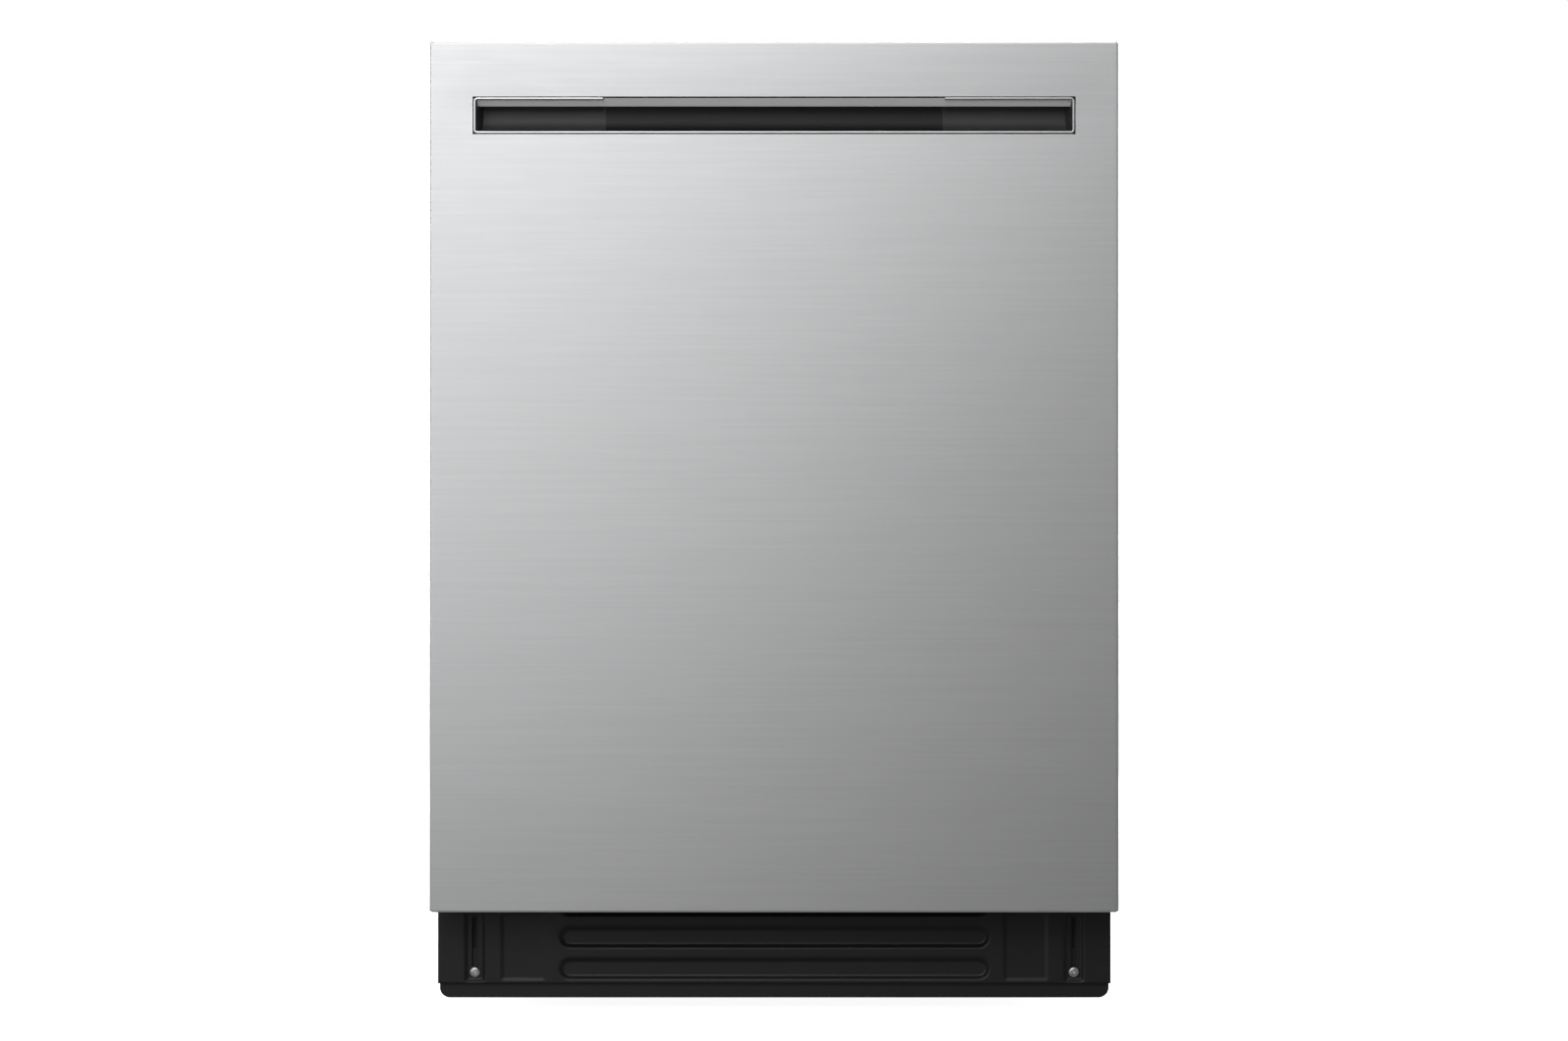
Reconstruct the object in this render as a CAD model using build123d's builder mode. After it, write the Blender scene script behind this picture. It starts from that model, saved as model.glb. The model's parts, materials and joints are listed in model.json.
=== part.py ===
"""Built-in dishwasher, 24 inch class, with a top control strip and a pocket handle.

Millimetres. +X is the right side, -Y the door's front, +Z up. The origin is on
the floor, in the middle of the outline. Each sub-part is written to
parts/NAME.step, and a sub-part made of several solids is one node.
"""

import os

from build123d import *

os.makedirs("parts", exist_ok=True)

# ---------------------------------------------------------------- overall size
total_height = 854.0
total_depth = 625.0
door_width = 603.0
body_width = 597.0
front_y = -total_depth / 2
rear_y = total_depth / 2
sheet = 1.0
rack_wire = 2.0
running = 0.06

# ------------------------------------------------------------------------ door
door_half = door_width / 2
door_bottom = 91.0
door_top = 852.0
hinge_y = front_y + 30.5
hinge_z = 112.0
skin_side_depth = 22.5
skin_bend = 2.0
liner_half = 284.0
liner_rim_y = -262.0
liner_recess_y = -270.5
liner_bottom = 108.0
liner_top = 838.0
liner_depth = 46.0
recess_half = 258.0
recess_top = 790.0

# --------------------------------------------------------------- pocket handle
pocket_half = 263.0
pocket_bottom = 771.3
pocket_top = 803.4
pocket_gap = 0.4
bezel_width = 2.4
bezel_depth = 5.5
grip_half = 148.0
grip_top = 818.0
pocket_back_y = front_y + 25.5

# ------------------------------------------------------------------------- tub
tub_half = 275.0
tub_front = -256.0
tub_back = 262.0
tub_top = 827.0
tub_ledge = 124.0
tub_seam = 150.0
tub_corner = 25.0
flange = 9.0
ceiling = tub_top - sheet
wash_y = (tub_front + tub_back) / 2
dish_floor = 104.0
dish_size = (440.0, 400.0)
dish_slope = 40.0
sump_hole = 113.0

# ------------------------------------------------------------------------ base
side_plate = body_width / 2
base_half = 276.0
base_front = -245.0
base_bottom = 18.0
base_top = 118.0
base_wall = 3.0
foot_places = {
    "front_left": (-255.0, -128.0),
    "front_right": (255.0, -128.0),
    "rear_left": (-255.0, 275.0),
    "rear_right": (255.0, 275.0),
}

# -------------------------------------------------------------------- toe kick
kick_y = front_y + 60.0
kick_half = 298.5
kick_top = 96.0
skirt_bottom, skirt_top, skirt_y = 10.0, 54.0, kick_y + 4.4
kick_panel_bottom = 23.0
kick_screw_x = 265.5
kick_screw_z = 33.0
kick_slot_top = 82.0
kick_channel_depth = 2.0
kick_rib_depth = 3.0
kick_rib_half = 191.0
kick_rib_height = 19.0
kick_rib_z = (36.0, 64.0, 92.0)

# ----------------------------------------------------------------- spray arms
hub_radius = 18.0
lower_arm_z = 126.0
middle_arm_z = 448.0
top_arm_z = ceiling - 48.0
blade_thickness = 10.0
duct_z = 469.0

# ----------------------------------------------------------------------- racks
lower_rack = {"half": 250.0, "front": -238.0, "back": 228.0, "floor": 166.0, "rim": 300.0}
upper_rack = {"half": 246.0, "front": -238.0, "back": 226.0, "floor": 482.0, "rim": 618.0}
rack_long_wires = 13
rack_cross_wires = 9
wheel_radius = 17.5
wheel_x = 241.0
wheel_width = 10.0
front_axle_y = -85.0
rear_axle_y = 165.0
axle_radius = 3.0
rail_z = 560.0


# --------------------------------------------------------------------- helpers
def block(x, y, z, mode=Mode.ADD):
    """A box between the given pairs of x, y and z, in the open part."""
    middle = tuple((low + high) / 2 for low, high in (x, y, z))
    sizes = [high - low for low, high in (x, y, z)]
    with Locations(middle):
        Box(*sizes, mode=mode)


def drum(centre, radius, length, along="Z", mode=Mode.ADD):
    """A cylinder about its centre, along X, Y or Z, in the open part."""
    turn = {"X": (0, 90, 0), "Y": (90, 0, 0), "Z": (0, 0, 0)}[along]
    with Locations(Location(centre, turn)):
        Cylinder(radius, length, mode=mode)


def rod(start, end, radius=rack_wire):
    """A straight round wire between two points, as its own solid."""
    start, end = Vector(*start), Vector(*end)
    with BuildPart() as made:
        with BuildSketch(Plane(origin=start, z_dir=end - start)):
            Circle(radius)
        extrude(amount=(end - start).length)
    return made.part.solid()


def save(shape, name):
    """Labels a finished piece and writes its STEP file."""
    shape.label = name
    export_step(shape, f"parts/{name}.step")


def save_group(solids, name):
    """Writes one node that holds several separate solids."""
    save(Compound(solids), name)


# ============================================================== tub and sealing
# The wrapper is one sheet bent over the left, the top and the right, with a
# flange turned outwards round the mouth.
with BuildPart() as tub_wrapper:
    with BuildSketch(Plane.XZ.offset(-tub_front)) as arch:
        with Locations((0, tub_seam)):
            Rectangle(2 * tub_half, tub_top - tub_seam, align=(Align.CENTER, Align.MIN))
        fillet(arch.vertices().group_by(Axis.Y)[-1], tub_corner)
        offset(amount=-sheet, mode=Mode.SUBTRACT)
        with Locations((0, tub_seam)):
            Rectangle(2 * (tub_half - sheet), 4 * sheet, mode=Mode.SUBTRACT)
    extrude(amount=-(tub_back - tub_front))
    with BuildSketch(Plane.XZ.offset(-tub_front)) as mouth:
        with Locations((0, tub_seam)):
            Rectangle(
                2 * (tub_half + flange),
                tub_top + flange + 2 - tub_seam,
                align=(Align.CENTER, Align.MIN),
            )
        fillet(mouth.vertices().group_by(Axis.Y)[-1], tub_corner + flange)
        with BuildSketch(mode=Mode.PRIVATE) as inside:
            with Locations((0, tub_seam)):
                Rectangle(
                    2 * (tub_half - sheet),
                    tub_top - sheet - tub_seam,
                    align=(Align.CENTER, Align.MIN),
                )
            fillet(inside.vertices().group_by(Axis.Y)[-1], tub_corner - sheet)
        add(inside.sketch, mode=Mode.SUBTRACT)
    extrude(amount=-sheet)
save(tub_wrapper.part, "tub_wrapper")

# The back panel closes the wrapper's rear end.
with BuildPart() as tub_back_panel:
    with BuildSketch(Plane.XZ.offset(-tub_back)) as panel:
        with Locations((0, tub_ledge - sheet)):
            Rectangle(
                2 * tub_half, tub_top - tub_ledge + sheet, align=(Align.CENTER, Align.MIN)
            )
        fillet(panel.vertices(), tub_corner)
    extrude(amount=-sheet)
save(tub_back_panel.part, "tub_back")

# The floor pan turns up at both sides to meet the wrapper, and its middle is
# pressed down into a dish with the sump hole.
float_place = (-140.0, wash_y - 115.0)
with BuildPart() as tub_floor:
    with BuildSketch(Plane.XZ.offset(-tub_front)) as pan:
        with Locations((0, tub_ledge - sheet)):
            Rectangle(
                2 * tub_half, tub_seam - tub_ledge + sheet, align=(Align.CENTER, Align.MIN)
            )
        fillet(pan.vertices().group_by(Axis.Y)[0], tub_corner)
        offset(amount=-sheet, mode=Mode.SUBTRACT)
        with Locations((0, tub_seam)):
            Rectangle(2 * (tub_half - sheet), 4 * sheet, mode=Mode.SUBTRACT)
    extrude(amount=-(tub_back - tub_front))
    block((-250, 250), (tub_front, tub_front + sheet), (100, tub_ledge))
    for grow, depth, mode in ((2 * sheet, sheet, Mode.ADD), (0, 0, Mode.SUBTRACT)):
        wide, deep = dish_size[0] + grow, dish_size[1] + grow
        with BuildSketch(Plane((0, wash_y, tub_ledge))) as dish_mouth:
            RectangleRounded(wide, deep, 60)
        with BuildSketch(Plane((0, wash_y, dish_floor - depth))) as dish_base:
            RectangleRounded(wide - 2 * dish_slope, deep - 2 * dish_slope, 50)
        loft(sections=[dish_mouth.sketch, dish_base.sketch], mode=mode)
    drum((0, wash_y, dish_floor), sump_hole, 10, mode=Mode.SUBTRACT)
    drum((*float_place, dish_floor), 5.4, 10, mode=Mode.SUBTRACT)
save(tub_floor.part, "tub_floor")

# A soft bulb on the mouth's flange, over both sides and the top.
gasket_width = 7.0
with BuildPart() as tub_gasket:
    with BuildSketch(Plane.XZ.offset(-tub_front)) as bulb:
        with Locations((0, tub_seam)):
            Rectangle(
                2 * (tub_half + flange) - 1,
                tub_top + flange + 1.5 - tub_seam,
                align=(Align.CENTER, Align.MIN),
            )
        fillet(bulb.vertices().group_by(Axis.Y)[-1], tub_corner + flange - 0.5)
        offset(amount=-gasket_width, mode=Mode.SUBTRACT)
        with Locations((0, tub_seam)):
            Rectangle(
                2 * (tub_half + flange - gasket_width) - 1,
                4 * gasket_width,
                mode=Mode.SUBTRACT,
            )
    extrude(amount=-(liner_rim_y - tub_front) - 0.5)
    crown = tub_gasket.faces().sort_by(Axis.Y)[0]
    fillet(crown.edges(), 1.5)
save(tub_gasket.part, "tub_gasket")

# ======================================================================== frame
# Two folded posts and a top bar stand round the mouth; the side brackets below
# them carry the door's pivots and the springs' anchors.
post_top = 849.0
bar_lip = 841.0
anchor_y, anchor_z = -160.0, 45.0
frame_solids = []
for side in (-1, 1):
    with BuildPart() as post:
        block((side_plate - sheet, side_plate), (-255, -205), (150, post_top))
        block((285, side_plate), (-255, -254), (180, post_top))
        if side < 0:
            mirror(about=Plane.YZ, mode=Mode.REPLACE)
    with BuildPart() as bracket:
        with BuildSketch(Plane.YZ.offset(side_plate - sheet)):
            with BuildLine():
                nose = (hinge_y, hinge_z)
                Polyline(
                    (nose[0], 124), (-255, 150), (-110, 150), (-60, 100), (-60, 28),
                    (-228, 28), (-228, 98), (-262, 100), (nose[0], 100),
                )
                ThreePointArc((nose[0], 100), (nose[0] - 12, 112), (nose[0], 124))
            make_face()
            with Locations(nose):
                Circle(4.0, mode=Mode.SUBTRACT)
        extrude(amount=sheet)
        block((base_half, side_plate), (-228, -60), (27, 28))
        if side < 0:
            mirror(about=Plane.YZ, mode=Mode.REPLACE)
    with BuildPart() as anchor:
        drum((side * 286.75, anchor_y, anchor_z), 3.0, 21.5, "X")
    frame_solids += [post.part.solid(), bracket.part.solid(), anchor.part.solid()]
with BuildPart() as top_bar:
    block((-285, 285), (-255, -205), (post_top - sheet, post_top))
    block((-285, 285), (-206, -205), (bar_lip, post_top))
frame_solids.append(top_bar.part.solid())
save_group(frame_solids, "front_frame")

# Rivets on which the door's arms turn.
pivot_radius = 4.0
pins = []
for side in (-1, 1):
    with BuildPart() as pin:
        drum((side * 291.75, hinge_y, hinge_z), pivot_radius, 13.5, "X")
        drum((side * 299.0, hinge_y, hinge_z), 6.0, 1.0, "X")
    pins.append(pin.part.solid())
save_group(pins, "hinge_pins")

# Two tabs on the top bar for screwing the machine to the counter above it.
tab_x, tab_y, tab_screw = 205.0, -238.0, 2.5
tabs = []
for side in (-1, 1):
    with BuildPart() as tab:
        block(
            (side * tab_x - 20, side * tab_x + 20),
            (-258, -212),
            (total_height - 1.2, total_height),
        )
        block(
            (side * tab_x - 20, side * tab_x + 20),
            (-213.2, -212),
            (post_top, total_height),
        )
        drum((side * tab_x, tab_y, total_height), tab_screw, 10, mode=Mode.SUBTRACT)
    tabs.append(tab.part.solid())
save_group(tabs, "counter_brackets")

# A felt wrap over the top, both sides and the back of the tub.
felt = 12.0
felt_front = -204.0
felt_low = tub_top + 1
felt_half = tub_half + 1 + felt
felt_rear = tub_back + sheet
with BuildPart() as felt_top:
    block((-felt_half, felt_half), (felt_front, felt_rear), (felt_low, felt_low + felt))
with BuildPart() as felt_left:
    block((-felt_half, felt - felt_half), (felt_front, felt_rear), (tub_seam, felt_low))
with BuildPart() as felt_right:
    block((felt_half - felt, felt_half), (felt_front, felt_rear), (tub_seam, felt_low))
with BuildPart() as felt_back:
    block((-felt_half, felt_half), (felt_rear, felt_rear + felt), (tub_seam, felt_low + felt))
felt_sheets = [felt_top, felt_left, felt_right, felt_back]
save_group([made.part.solid() for made in felt_sheets], "sound_blanket")

# ========================================================================= base
boss_radius, stem_radius = 11.0, 5.0
with BuildPart() as base_pan:
    block((-base_half, base_half), (base_front, rear_y), (base_bottom, base_top))
    block(
        (-base_half + base_wall, base_half - base_wall),
        (base_front + base_wall, rear_y - base_wall),
        (base_bottom + base_wall, base_top + 1),
        Mode.SUBTRACT,
    )
    block((-150, 150), (base_front - 1, base_front + 5), (50, base_top + 1), Mode.SUBTRACT)
    block((-240, 240), (rear_y - 5, rear_y + 1), (28, base_top + 1), Mode.SUBTRACT)
    for place in foot_places.values():
        drum((*place, 38), boss_radius, 40)
        drum((*place, 40), stem_radius + running, 60, mode=Mode.SUBTRACT)
    for side in (-1, 1):
        drum((side * kick_screw_x, base_front, kick_screw_z), 2.0, 30, "Y", Mode.SUBTRACT)
        block(
            (min(side * 276, side * 281), max(side * 276, side * 281)),
            (-60, 250),
            (base_bottom, base_top - 18),
        )
save(base_pan.part, "base_pan")

# Screw-in feet: a pad on a threaded stem.
for name, place in foot_places.items():
    with BuildPart() as foot:
        drum((*place, 4), 19.0, 8)
        chamfer(foot.edges().group_by(Axis.Z)[-1], 2.5)
        drum((*place, 11), 8.0, 6)
        drum((*place, 32), stem_radius, 48)
    save(foot.part, f"foot_{name}")

# ===================================================================== toe kick
# The fixed panel is a painted sheet with a slotted channel for each screw, three
# pressed ribs, two flat pressed pads and a folded edge at each side.
with BuildPart() as toe_kick:
    block((-kick_half, kick_half), (kick_y, kick_y + sheet), (kick_panel_bottom, kick_top))
    with BuildSketch(Plane.XZ.offset(-(kick_y + sheet + kick_rib_depth))):
        for height in kick_rib_z:
            with Locations((0, height)):
                SlotOverall(2 * kick_rib_half, kick_rib_height)
    extrude(amount=kick_rib_depth)
    with BuildSketch(Plane.XZ.offset(-kick_y)):
        for height in kick_rib_z:
            with Locations((0, height)):
                SlotOverall(2 * kick_rib_half - 2 * sheet, kick_rib_height - 2 * sheet)
    extrude(amount=-kick_rib_depth, mode=Mode.SUBTRACT)
    for side in (-1, 1):
        x = side * kick_screw_x
        channel_back = kick_y + kick_channel_depth
        inner = (kick_panel_bottom + 1, kick_top)
        block((x - 9.5, x + 9.5), (kick_y + sheet, channel_back + sheet), (inner[0] - 1, kick_top))
        block((x - 8.5, x + 8.5), (kick_y - 1, channel_back), inner, Mode.SUBTRACT)
        slot = (kick_screw_z - 2.3, kick_slot_top)
        block((x - 2.3, x + 2.3), (kick_y, channel_back + 2), slot, Mode.SUBTRACT)
        pad = side * 223.0
        block((pad - 19, pad + 19), (kick_y + sheet, kick_y + 1.8), (26, 86))
        block((pad - 18, pad + 18), (kick_y - 1, kick_y + 0.8), (27, 85), Mode.SUBTRACT)
        edge = side * (kick_half - sheet / 2)
        block((edge - 0.5, edge + 0.5), (kick_y, kick_y + 20), (kick_panel_bottom, kick_top))
    above = (kick_top, kick_top + 20)
    block((-kick_half - 1, kick_half + 1), (kick_y - 1, kick_y + 30), above, Mode.SUBTRACT)
save(toe_kick.part, "toe_kick_panel")

# The skirt slides up and down behind the panel to meet the floor. Its screws
# ride in the panel's slots, and stand at the bottom of them.
skirt_half = kick_half - 1.6
with BuildPart() as skirt:
    block((-skirt_half, skirt_half), (skirt_y, skirt_y + sheet), (skirt_bottom, skirt_top))
    fillet(skirt.edges().filter_by(Axis.Y).group_by(Axis.Z)[0], 9.0)
    for side in (-1, 1):
        drum((side * kick_screw_x, skirt_y, kick_screw_z), 2.0, 6, "Y", Mode.SUBTRACT)
save(skirt.part, "toe_kick_skirt")

screws = []
for side in (-1, 1):
    x = side * kick_screw_x
    with BuildPart() as screw:
        drum((x, kick_y + 0.3, kick_screw_z), 4.6, 3.0, "Y")
        fillet(screw.edges().group_by(Axis.Y)[0], 1.0)
        drum((x, kick_y + 4.3, kick_screw_z), 2.0, 5.0, "Y")
    screws.append(screw.part.solid())
save_group(screws, "toe_kick_screws")

# ================================================================= water system
cartridge_place = (50.0, wash_y - 42.0)
with BuildPart() as sump:
    drum((0, wash_y, dish_floor + 1), sump_hole + 11, 2)
    drum((0, wash_y, 81), sump_hole - 1, 46)
    drum((0, wash_y, 84), sump_hole - 5, 46, mode=Mode.SUBTRACT)
    drum((0, wash_y, 95.5), hub_radius, 75)
    drum((0, wash_y, 97.5), hub_radius - 4, 73, mode=Mode.SUBTRACT)
    block((-20, 20), (wash_y + 109, 258), (80, 100))
    block((-20, 20), (236, 258), (80, tub_ledge - sheet))
    block((-17, 17), (wash_y + 105, 255), (83, 97), Mode.SUBTRACT)
    block((-17, 17), (239, 255), (83, tub_ledge), Mode.SUBTRACT)
save(sump.part, "sump")

with BuildPart() as filter_plate:
    drum((0, wash_y, dish_floor + 2.6), sump_hole + 3, 1.2)
    drum((0, wash_y, dish_floor + 3), hub_radius + 0.5, 10, mode=Mode.SUBTRACT)
    drum((*cartridge_place, dish_floor + 3), 33.0, 10, mode=Mode.SUBTRACT)
save(filter_plate.part, "filter_plate")

# The fine filter twists a quarter turn to unlock.
with BuildPart() as cartridge:
    drum((*cartridge_place, 87), 31.0, 42)
    drum((*cartridge_place, 86), 29.0, 44, mode=Mode.SUBTRACT)
    drum((*cartridge_place, 108.6), 36.0, 1.8)
    block(
        (cartridge_place[0] - 26, cartridge_place[0] + 26),
        (cartridge_place[1] - 4, cartridge_place[1] + 4),
        (109, 119),
    )
    fillet(cartridge.edges().filter_by(Axis.Z).sort_by(Axis.Z)[-4:], 3.0)
save(cartridge.part, "filter_cartridge")

with BuildPart() as float_cap:
    drum((*float_place, 110), 24.0, 9)
    fillet(float_cap.edges().group_by(Axis.Z)[-1], 3.0)
    drum((*float_place, 93), 5.0, 30)
save(float_cap.part, "float_cap")

with BuildPart() as circulation_pump:
    drum((165, wash_y, 64), 36.0, 100, "X")
    drum((215, wash_y, 64), 30.0, 14, "X")
    fillet(circulation_pump.edges().group_by(Axis.X)[-1], 4.0)
save(circulation_pump.part, "circulation_pump")

with BuildPart() as drain_pump:
    drum((-142, wash_y + 30, 66), 27.0, 46, "X")
    drum((-172, wash_y + 30, 66), 22.0, 16, "X")
    block((-165, -125), (wash_y + 30, wash_y + 64), (56, 76))
    drum((-145, wash_y + 78, 66), 9.5, 32, "Y")
    drum((-145, wash_y + 79, 66), 7.0, 34, "Y", Mode.SUBTRACT)
save(drain_pump.part, "drain_pump")

with BuildPart() as inlet_valve:
    block((-230, -182), (-232, -192), (36, 74))
    drum((-206, -212, 82), 15.0, 18)
    drum((-206, -184, 52), 11.0, 18, "Y")
    drum((-206, -182, 52), 7.6, 14.2, "Y", Mode.SUBTRACT)
save(inlet_valve.part, "inlet_valve")

cable_entry = 11.1
box_x, box_y, box_z = (-110, -35), (-236, -176), (26, 92)
with BuildPart() as junction_box:
    block(box_x, box_y, box_z)
    inside = [(low + 1.2, high - 1.2) for low, high in (box_x, box_y, box_z)]
    block(*inside, Mode.SUBTRACT)
    drum((sum(box_x) / 2, box_y[1], 44), cable_entry, 6, "Y", Mode.SUBTRACT)
save(junction_box.part, "junction_box")

# The riser climbs the tub's back wall, docks the rack's duct on the way and
# runs forward under the ceiling to the top arm.
duct_top = ceiling - 2.0
with BuildPart() as feed_tube:
    block((-22, 22), (238, 262), (tub_ledge, duct_top))
    block((-22, 22), (wash_y - 22, 262), (duct_top - 22, duct_top))
    fillet(feed_tube.edges().filter_by(Axis.Z), 4.0)
    block((-19.5, 19.5), (240.5, 259.5), (tub_ledge - 1, duct_top - 3), Mode.SUBTRACT)
    block((-19.5, 19.5), (wash_y - 19, 259.5), (duct_top - 19.5, duct_top - 2.5), Mode.SUBTRACT)
    drum((0, wash_y, duct_top - 28), 20.0, 12)
    drum((0, wash_y, top_arm_z + 8), 10.0, 21)
    drum((0, wash_y, top_arm_z + 12), 6.5, 36, mode=Mode.SUBTRACT)
    drum((0, 236, duct_z), 20.0, 4, "Y")
    drum((0, 234, duct_z), 10.4, 12, "Y", Mode.SUBTRACT)
save(feed_tube.part, "feed_tube")


def blade(length, root, tip, angle, bottom):
    """One tapering spray blade from the hub outwards, at an angle about it."""
    with BuildSketch(Plane((0, wash_y, bottom))) as outline:
        with Locations(Location((0, 0, 0), (0, 0, angle))):
            with BuildLine():
                edge = Polyline((0, -root / 2), (length, -tip / 2))
                tip_arc = ThreePointArc(edge @ 1, (length + tip / 2, 0), (length, tip / 2))
                Polyline(tip_arc @ 1, (0, root / 2), (0, -root / 2))
            make_face()
    extrude(outline.sketch, amount=blade_thickness)


def spray_arm(name, bottom, blades, hub, bore, opens_up, hub_span, bore_end):
    """An arm with its blades and a hub that turns on a spigot."""
    low, high = hub_span
    with BuildPart() as arm:
        for angle, length, root, tip in blades:
            blade(length, root, tip, angle, bottom)
        top = arm.faces().group_by(Axis.Z)[-1]
        chamfer(top.edges(), 2.5)
        drum((0, wash_y, (low + high) / 2), hub, high - low)
        bore_low, bore_high = (bore_end, high + 1) if opens_up else (low - 1, bore_end)
        drum(
            (0, wash_y, (bore_low + bore_high) / 2),
            bore + running,
            bore_high - bore_low,
            mode=Mode.SUBTRACT,
        )
    save(arm.part, name)


spray_arm(
    "lower_spray_arm", lower_arm_z,
    [(20, 196, 50, 34), (200, 196, 50, 34), (110, 130, 40, 28), (290, 130, 40, 28)],
    26.0, hub_radius, False, (112.0, 138.5), 133.5,
)
spray_arm(
    "middle_spray_arm", middle_arm_z,
    [(35, 170, 46, 30), (215, 170, 46, 30)],
    22.0, 12.0, True, (445.0, 460.5), 447.5,
)
spray_arm(
    "top_spray_arm", top_arm_z,
    [(60, 100, 40, 26), (240, 100, 40, 26)],
    20.0, 10.0, True, (top_arm_z - 5, top_arm_z + 11.5), top_arm_z - 2.5,
)


# ======================================================================== racks
def spread(low, high, count):
    """Evenly spaced places from low to high, both included."""
    return [low + (high - low) * n / (count - 1) for n in range(count)]


def basket(rack):
    """The welded wires of a rack: hoops both ways, two rims and a grid floor."""
    half, front, back = rack["half"], rack["front"], rack["back"]
    floor, rim = rack["floor"], rack["rim"]
    under, middle = floor - 2 * rack_wire, (floor + rim) / 2
    r = rack_wire
    wires = []
    for x in spread(-half + 10, half - 10, rack_long_wires):
        wires.append(rod((x, front, floor), (x, back, floor)))
        wires.append(rod((x, front, floor), (x, front, rim)))
        wires.append(rod((x, back, floor), (x, back, rim)))
    for y in spread(front + 10, back - 10, rack_cross_wires):
        wires.append(rod((-half, y, under), (half, y, under)))
        wires.append(rod((-half, y, under), (-half, y, rim)))
        wires.append(rod((half, y, under), (half, y, rim)))
    for height in (middle, rim):
        for y in (front - 2 * r, back + 2 * r):
            wires.append(rod((-half - r, y, height), (half + r, y, height), 2.5))
        for x in (-half - 2 * r, half + 2 * r):
            wires.append(rod((x, front - r, height), (x, back + r, height), 2.5))
    return wires


def tine_row(rack, places, height):
    """Upright tines on the rack's floor, one for each place."""
    floor = rack["floor"]
    return [rod((x, y, floor), (x, y, floor + height)) for x, y in places]


tine_xs = spread(-220, 220, 12)
lower_wires = basket(lower_rack)
for y in (-40, 20, 160):
    lower_wires += tine_row(lower_rack, [(x, y) for x in tine_xs], 70)
# Stub axles for the wheels hang from the side wires.
for side in (-1, 1):
    for y in (front_axle_y, rear_axle_y):
        with BuildPart() as hanger:
            block(
                (min(side * 248, side * 252), max(side * 248, side * 252)),
                (y - 12, y + 12),
                (134, 176),
            )
            axle_middle = side * (wheel_x + 248 - wheel_width / 2 - 1) / 2
            drum((axle_middle, y, tub_ledge + 0.3 + wheel_radius), axle_radius, 13, "X")
        lower_wires.append(hanger.part.solid())
with BuildPart() as pull:
    block((-60, 60), (-246, -242), (276, 300))
    fillet(pull.edges().filter_by(Axis.Y), 8.0)
lower_wires.append(pull.part.solid())
save_group(lower_wires, "lower_rack_basket")

for name, y in (("front", front_axle_y), ("rear", rear_axle_y)):
    wheels = []
    for side in (-1, 1):
        with BuildPart() as wheel:
            middle = (side * wheel_x, y, tub_ledge + 0.3 + wheel_radius)
            drum(middle, wheel_radius, wheel_width, "X")
            fillet(wheel.edges(), 2.0)
            drum(middle, axle_radius + running, wheel_width + 2, "X", Mode.SUBTRACT)
        wheels.append(wheel.part.solid())
    save_group(wheels, f"rack_wheels_{name}")

# A row of tines on one long wire that folds flat.
fold_y = 75.0
fold_z = lower_rack["floor"] + 2 * rack_wire + 0.8
fold_xs = spread(-200, 200, 11)
folding = [rod((-215, fold_y, fold_z), (215, fold_y, fold_z))]
folding += [rod((x, fold_y, fold_z), (x, fold_y, fold_z + 68)) for x in fold_xs]
save_group(folding, "lower_rack_tines")

basket_x, basket_y = (-20.0, 228.0), (-228.0, -140.0)
basket_z = (lower_rack["floor"] + 3, 286.0)
with BuildPart() as cutlery_basket:
    block(basket_x, basket_y, basket_z)
    fillet(cutlery_basket.edges().filter_by(Axis.Z), 10.0)
    cells = spread(basket_x[0], basket_x[1], 4)
    for left, right in zip(cells, cells[1:]):
        block(
            (left + 1.5, right - 1.5),
            (basket_y[0] + 2, basket_y[1] - 2),
            (basket_z[0] + 2, basket_z[1] + 1),
            Mode.SUBTRACT,
        )
    middle_x, middle_y = sum(basket_x) / 2, sum(basket_y) / 2
    for x in (middle_x - 55, middle_x + 55):
        block((x - 4, x + 4), (middle_y - 6, middle_y + 6), (basket_z[0] + 30, 330))
        block((x - 4, x + 4), basket_y, (basket_z[1] - 12, basket_z[1] - 4))
    block((middle_x - 59, middle_x + 59), (middle_y - 6, middle_y + 6), (322, 334))
save(cutlery_basket.part, "cutlery_basket")

upper_wires = basket(upper_rack)
for x in (-100, 120):
    upper_wires += tine_row(upper_rack, [(x, y) for y in spread(-190, 190, 11)], 55)
for side in (-1, 1):
    with BuildPart() as hanger:
        block(
            (min(side * 243.7, side * 253.6), max(side * 243.7, side * 253.6)),
            (-170, 170),
            (rail_z - 20, rail_z + 20),
        )
        fillet(hanger.edges().filter_by(Axis.X), 6.0)
    upper_wires.append(hanger.part.solid())
shelf_x, shelf_z = -236.0, 572.0
shelf_back, shelf_front = -8.0, -192.0
upper_wires.append(rod((shelf_x, shelf_front - 4, shelf_z), (shelf_x, shelf_back + 4, shelf_z), 1.44))
for y in (shelf_front - 3, shelf_back + 3):
    upper_wires.append(rod((-244, y, shelf_z), (shelf_x - 1.4, y, shelf_z), 1.44))
save_group(upper_wires, "upper_rack_basket")

fold_x = 20.0
upper_fold_z = upper_rack["floor"] + 2 * rack_wire + 0.8
upper_fold_ys = spread(-180, 180, 10)
folding = [rod((fold_x, -195, upper_fold_z), (fold_x, 195, upper_fold_z))]
folding += [
    rod((fold_x, y, upper_fold_z), (fold_x, y, upper_fold_z + 52)) for y in upper_fold_ys
]
save_group(folding, "upper_rack_tines")

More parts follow.
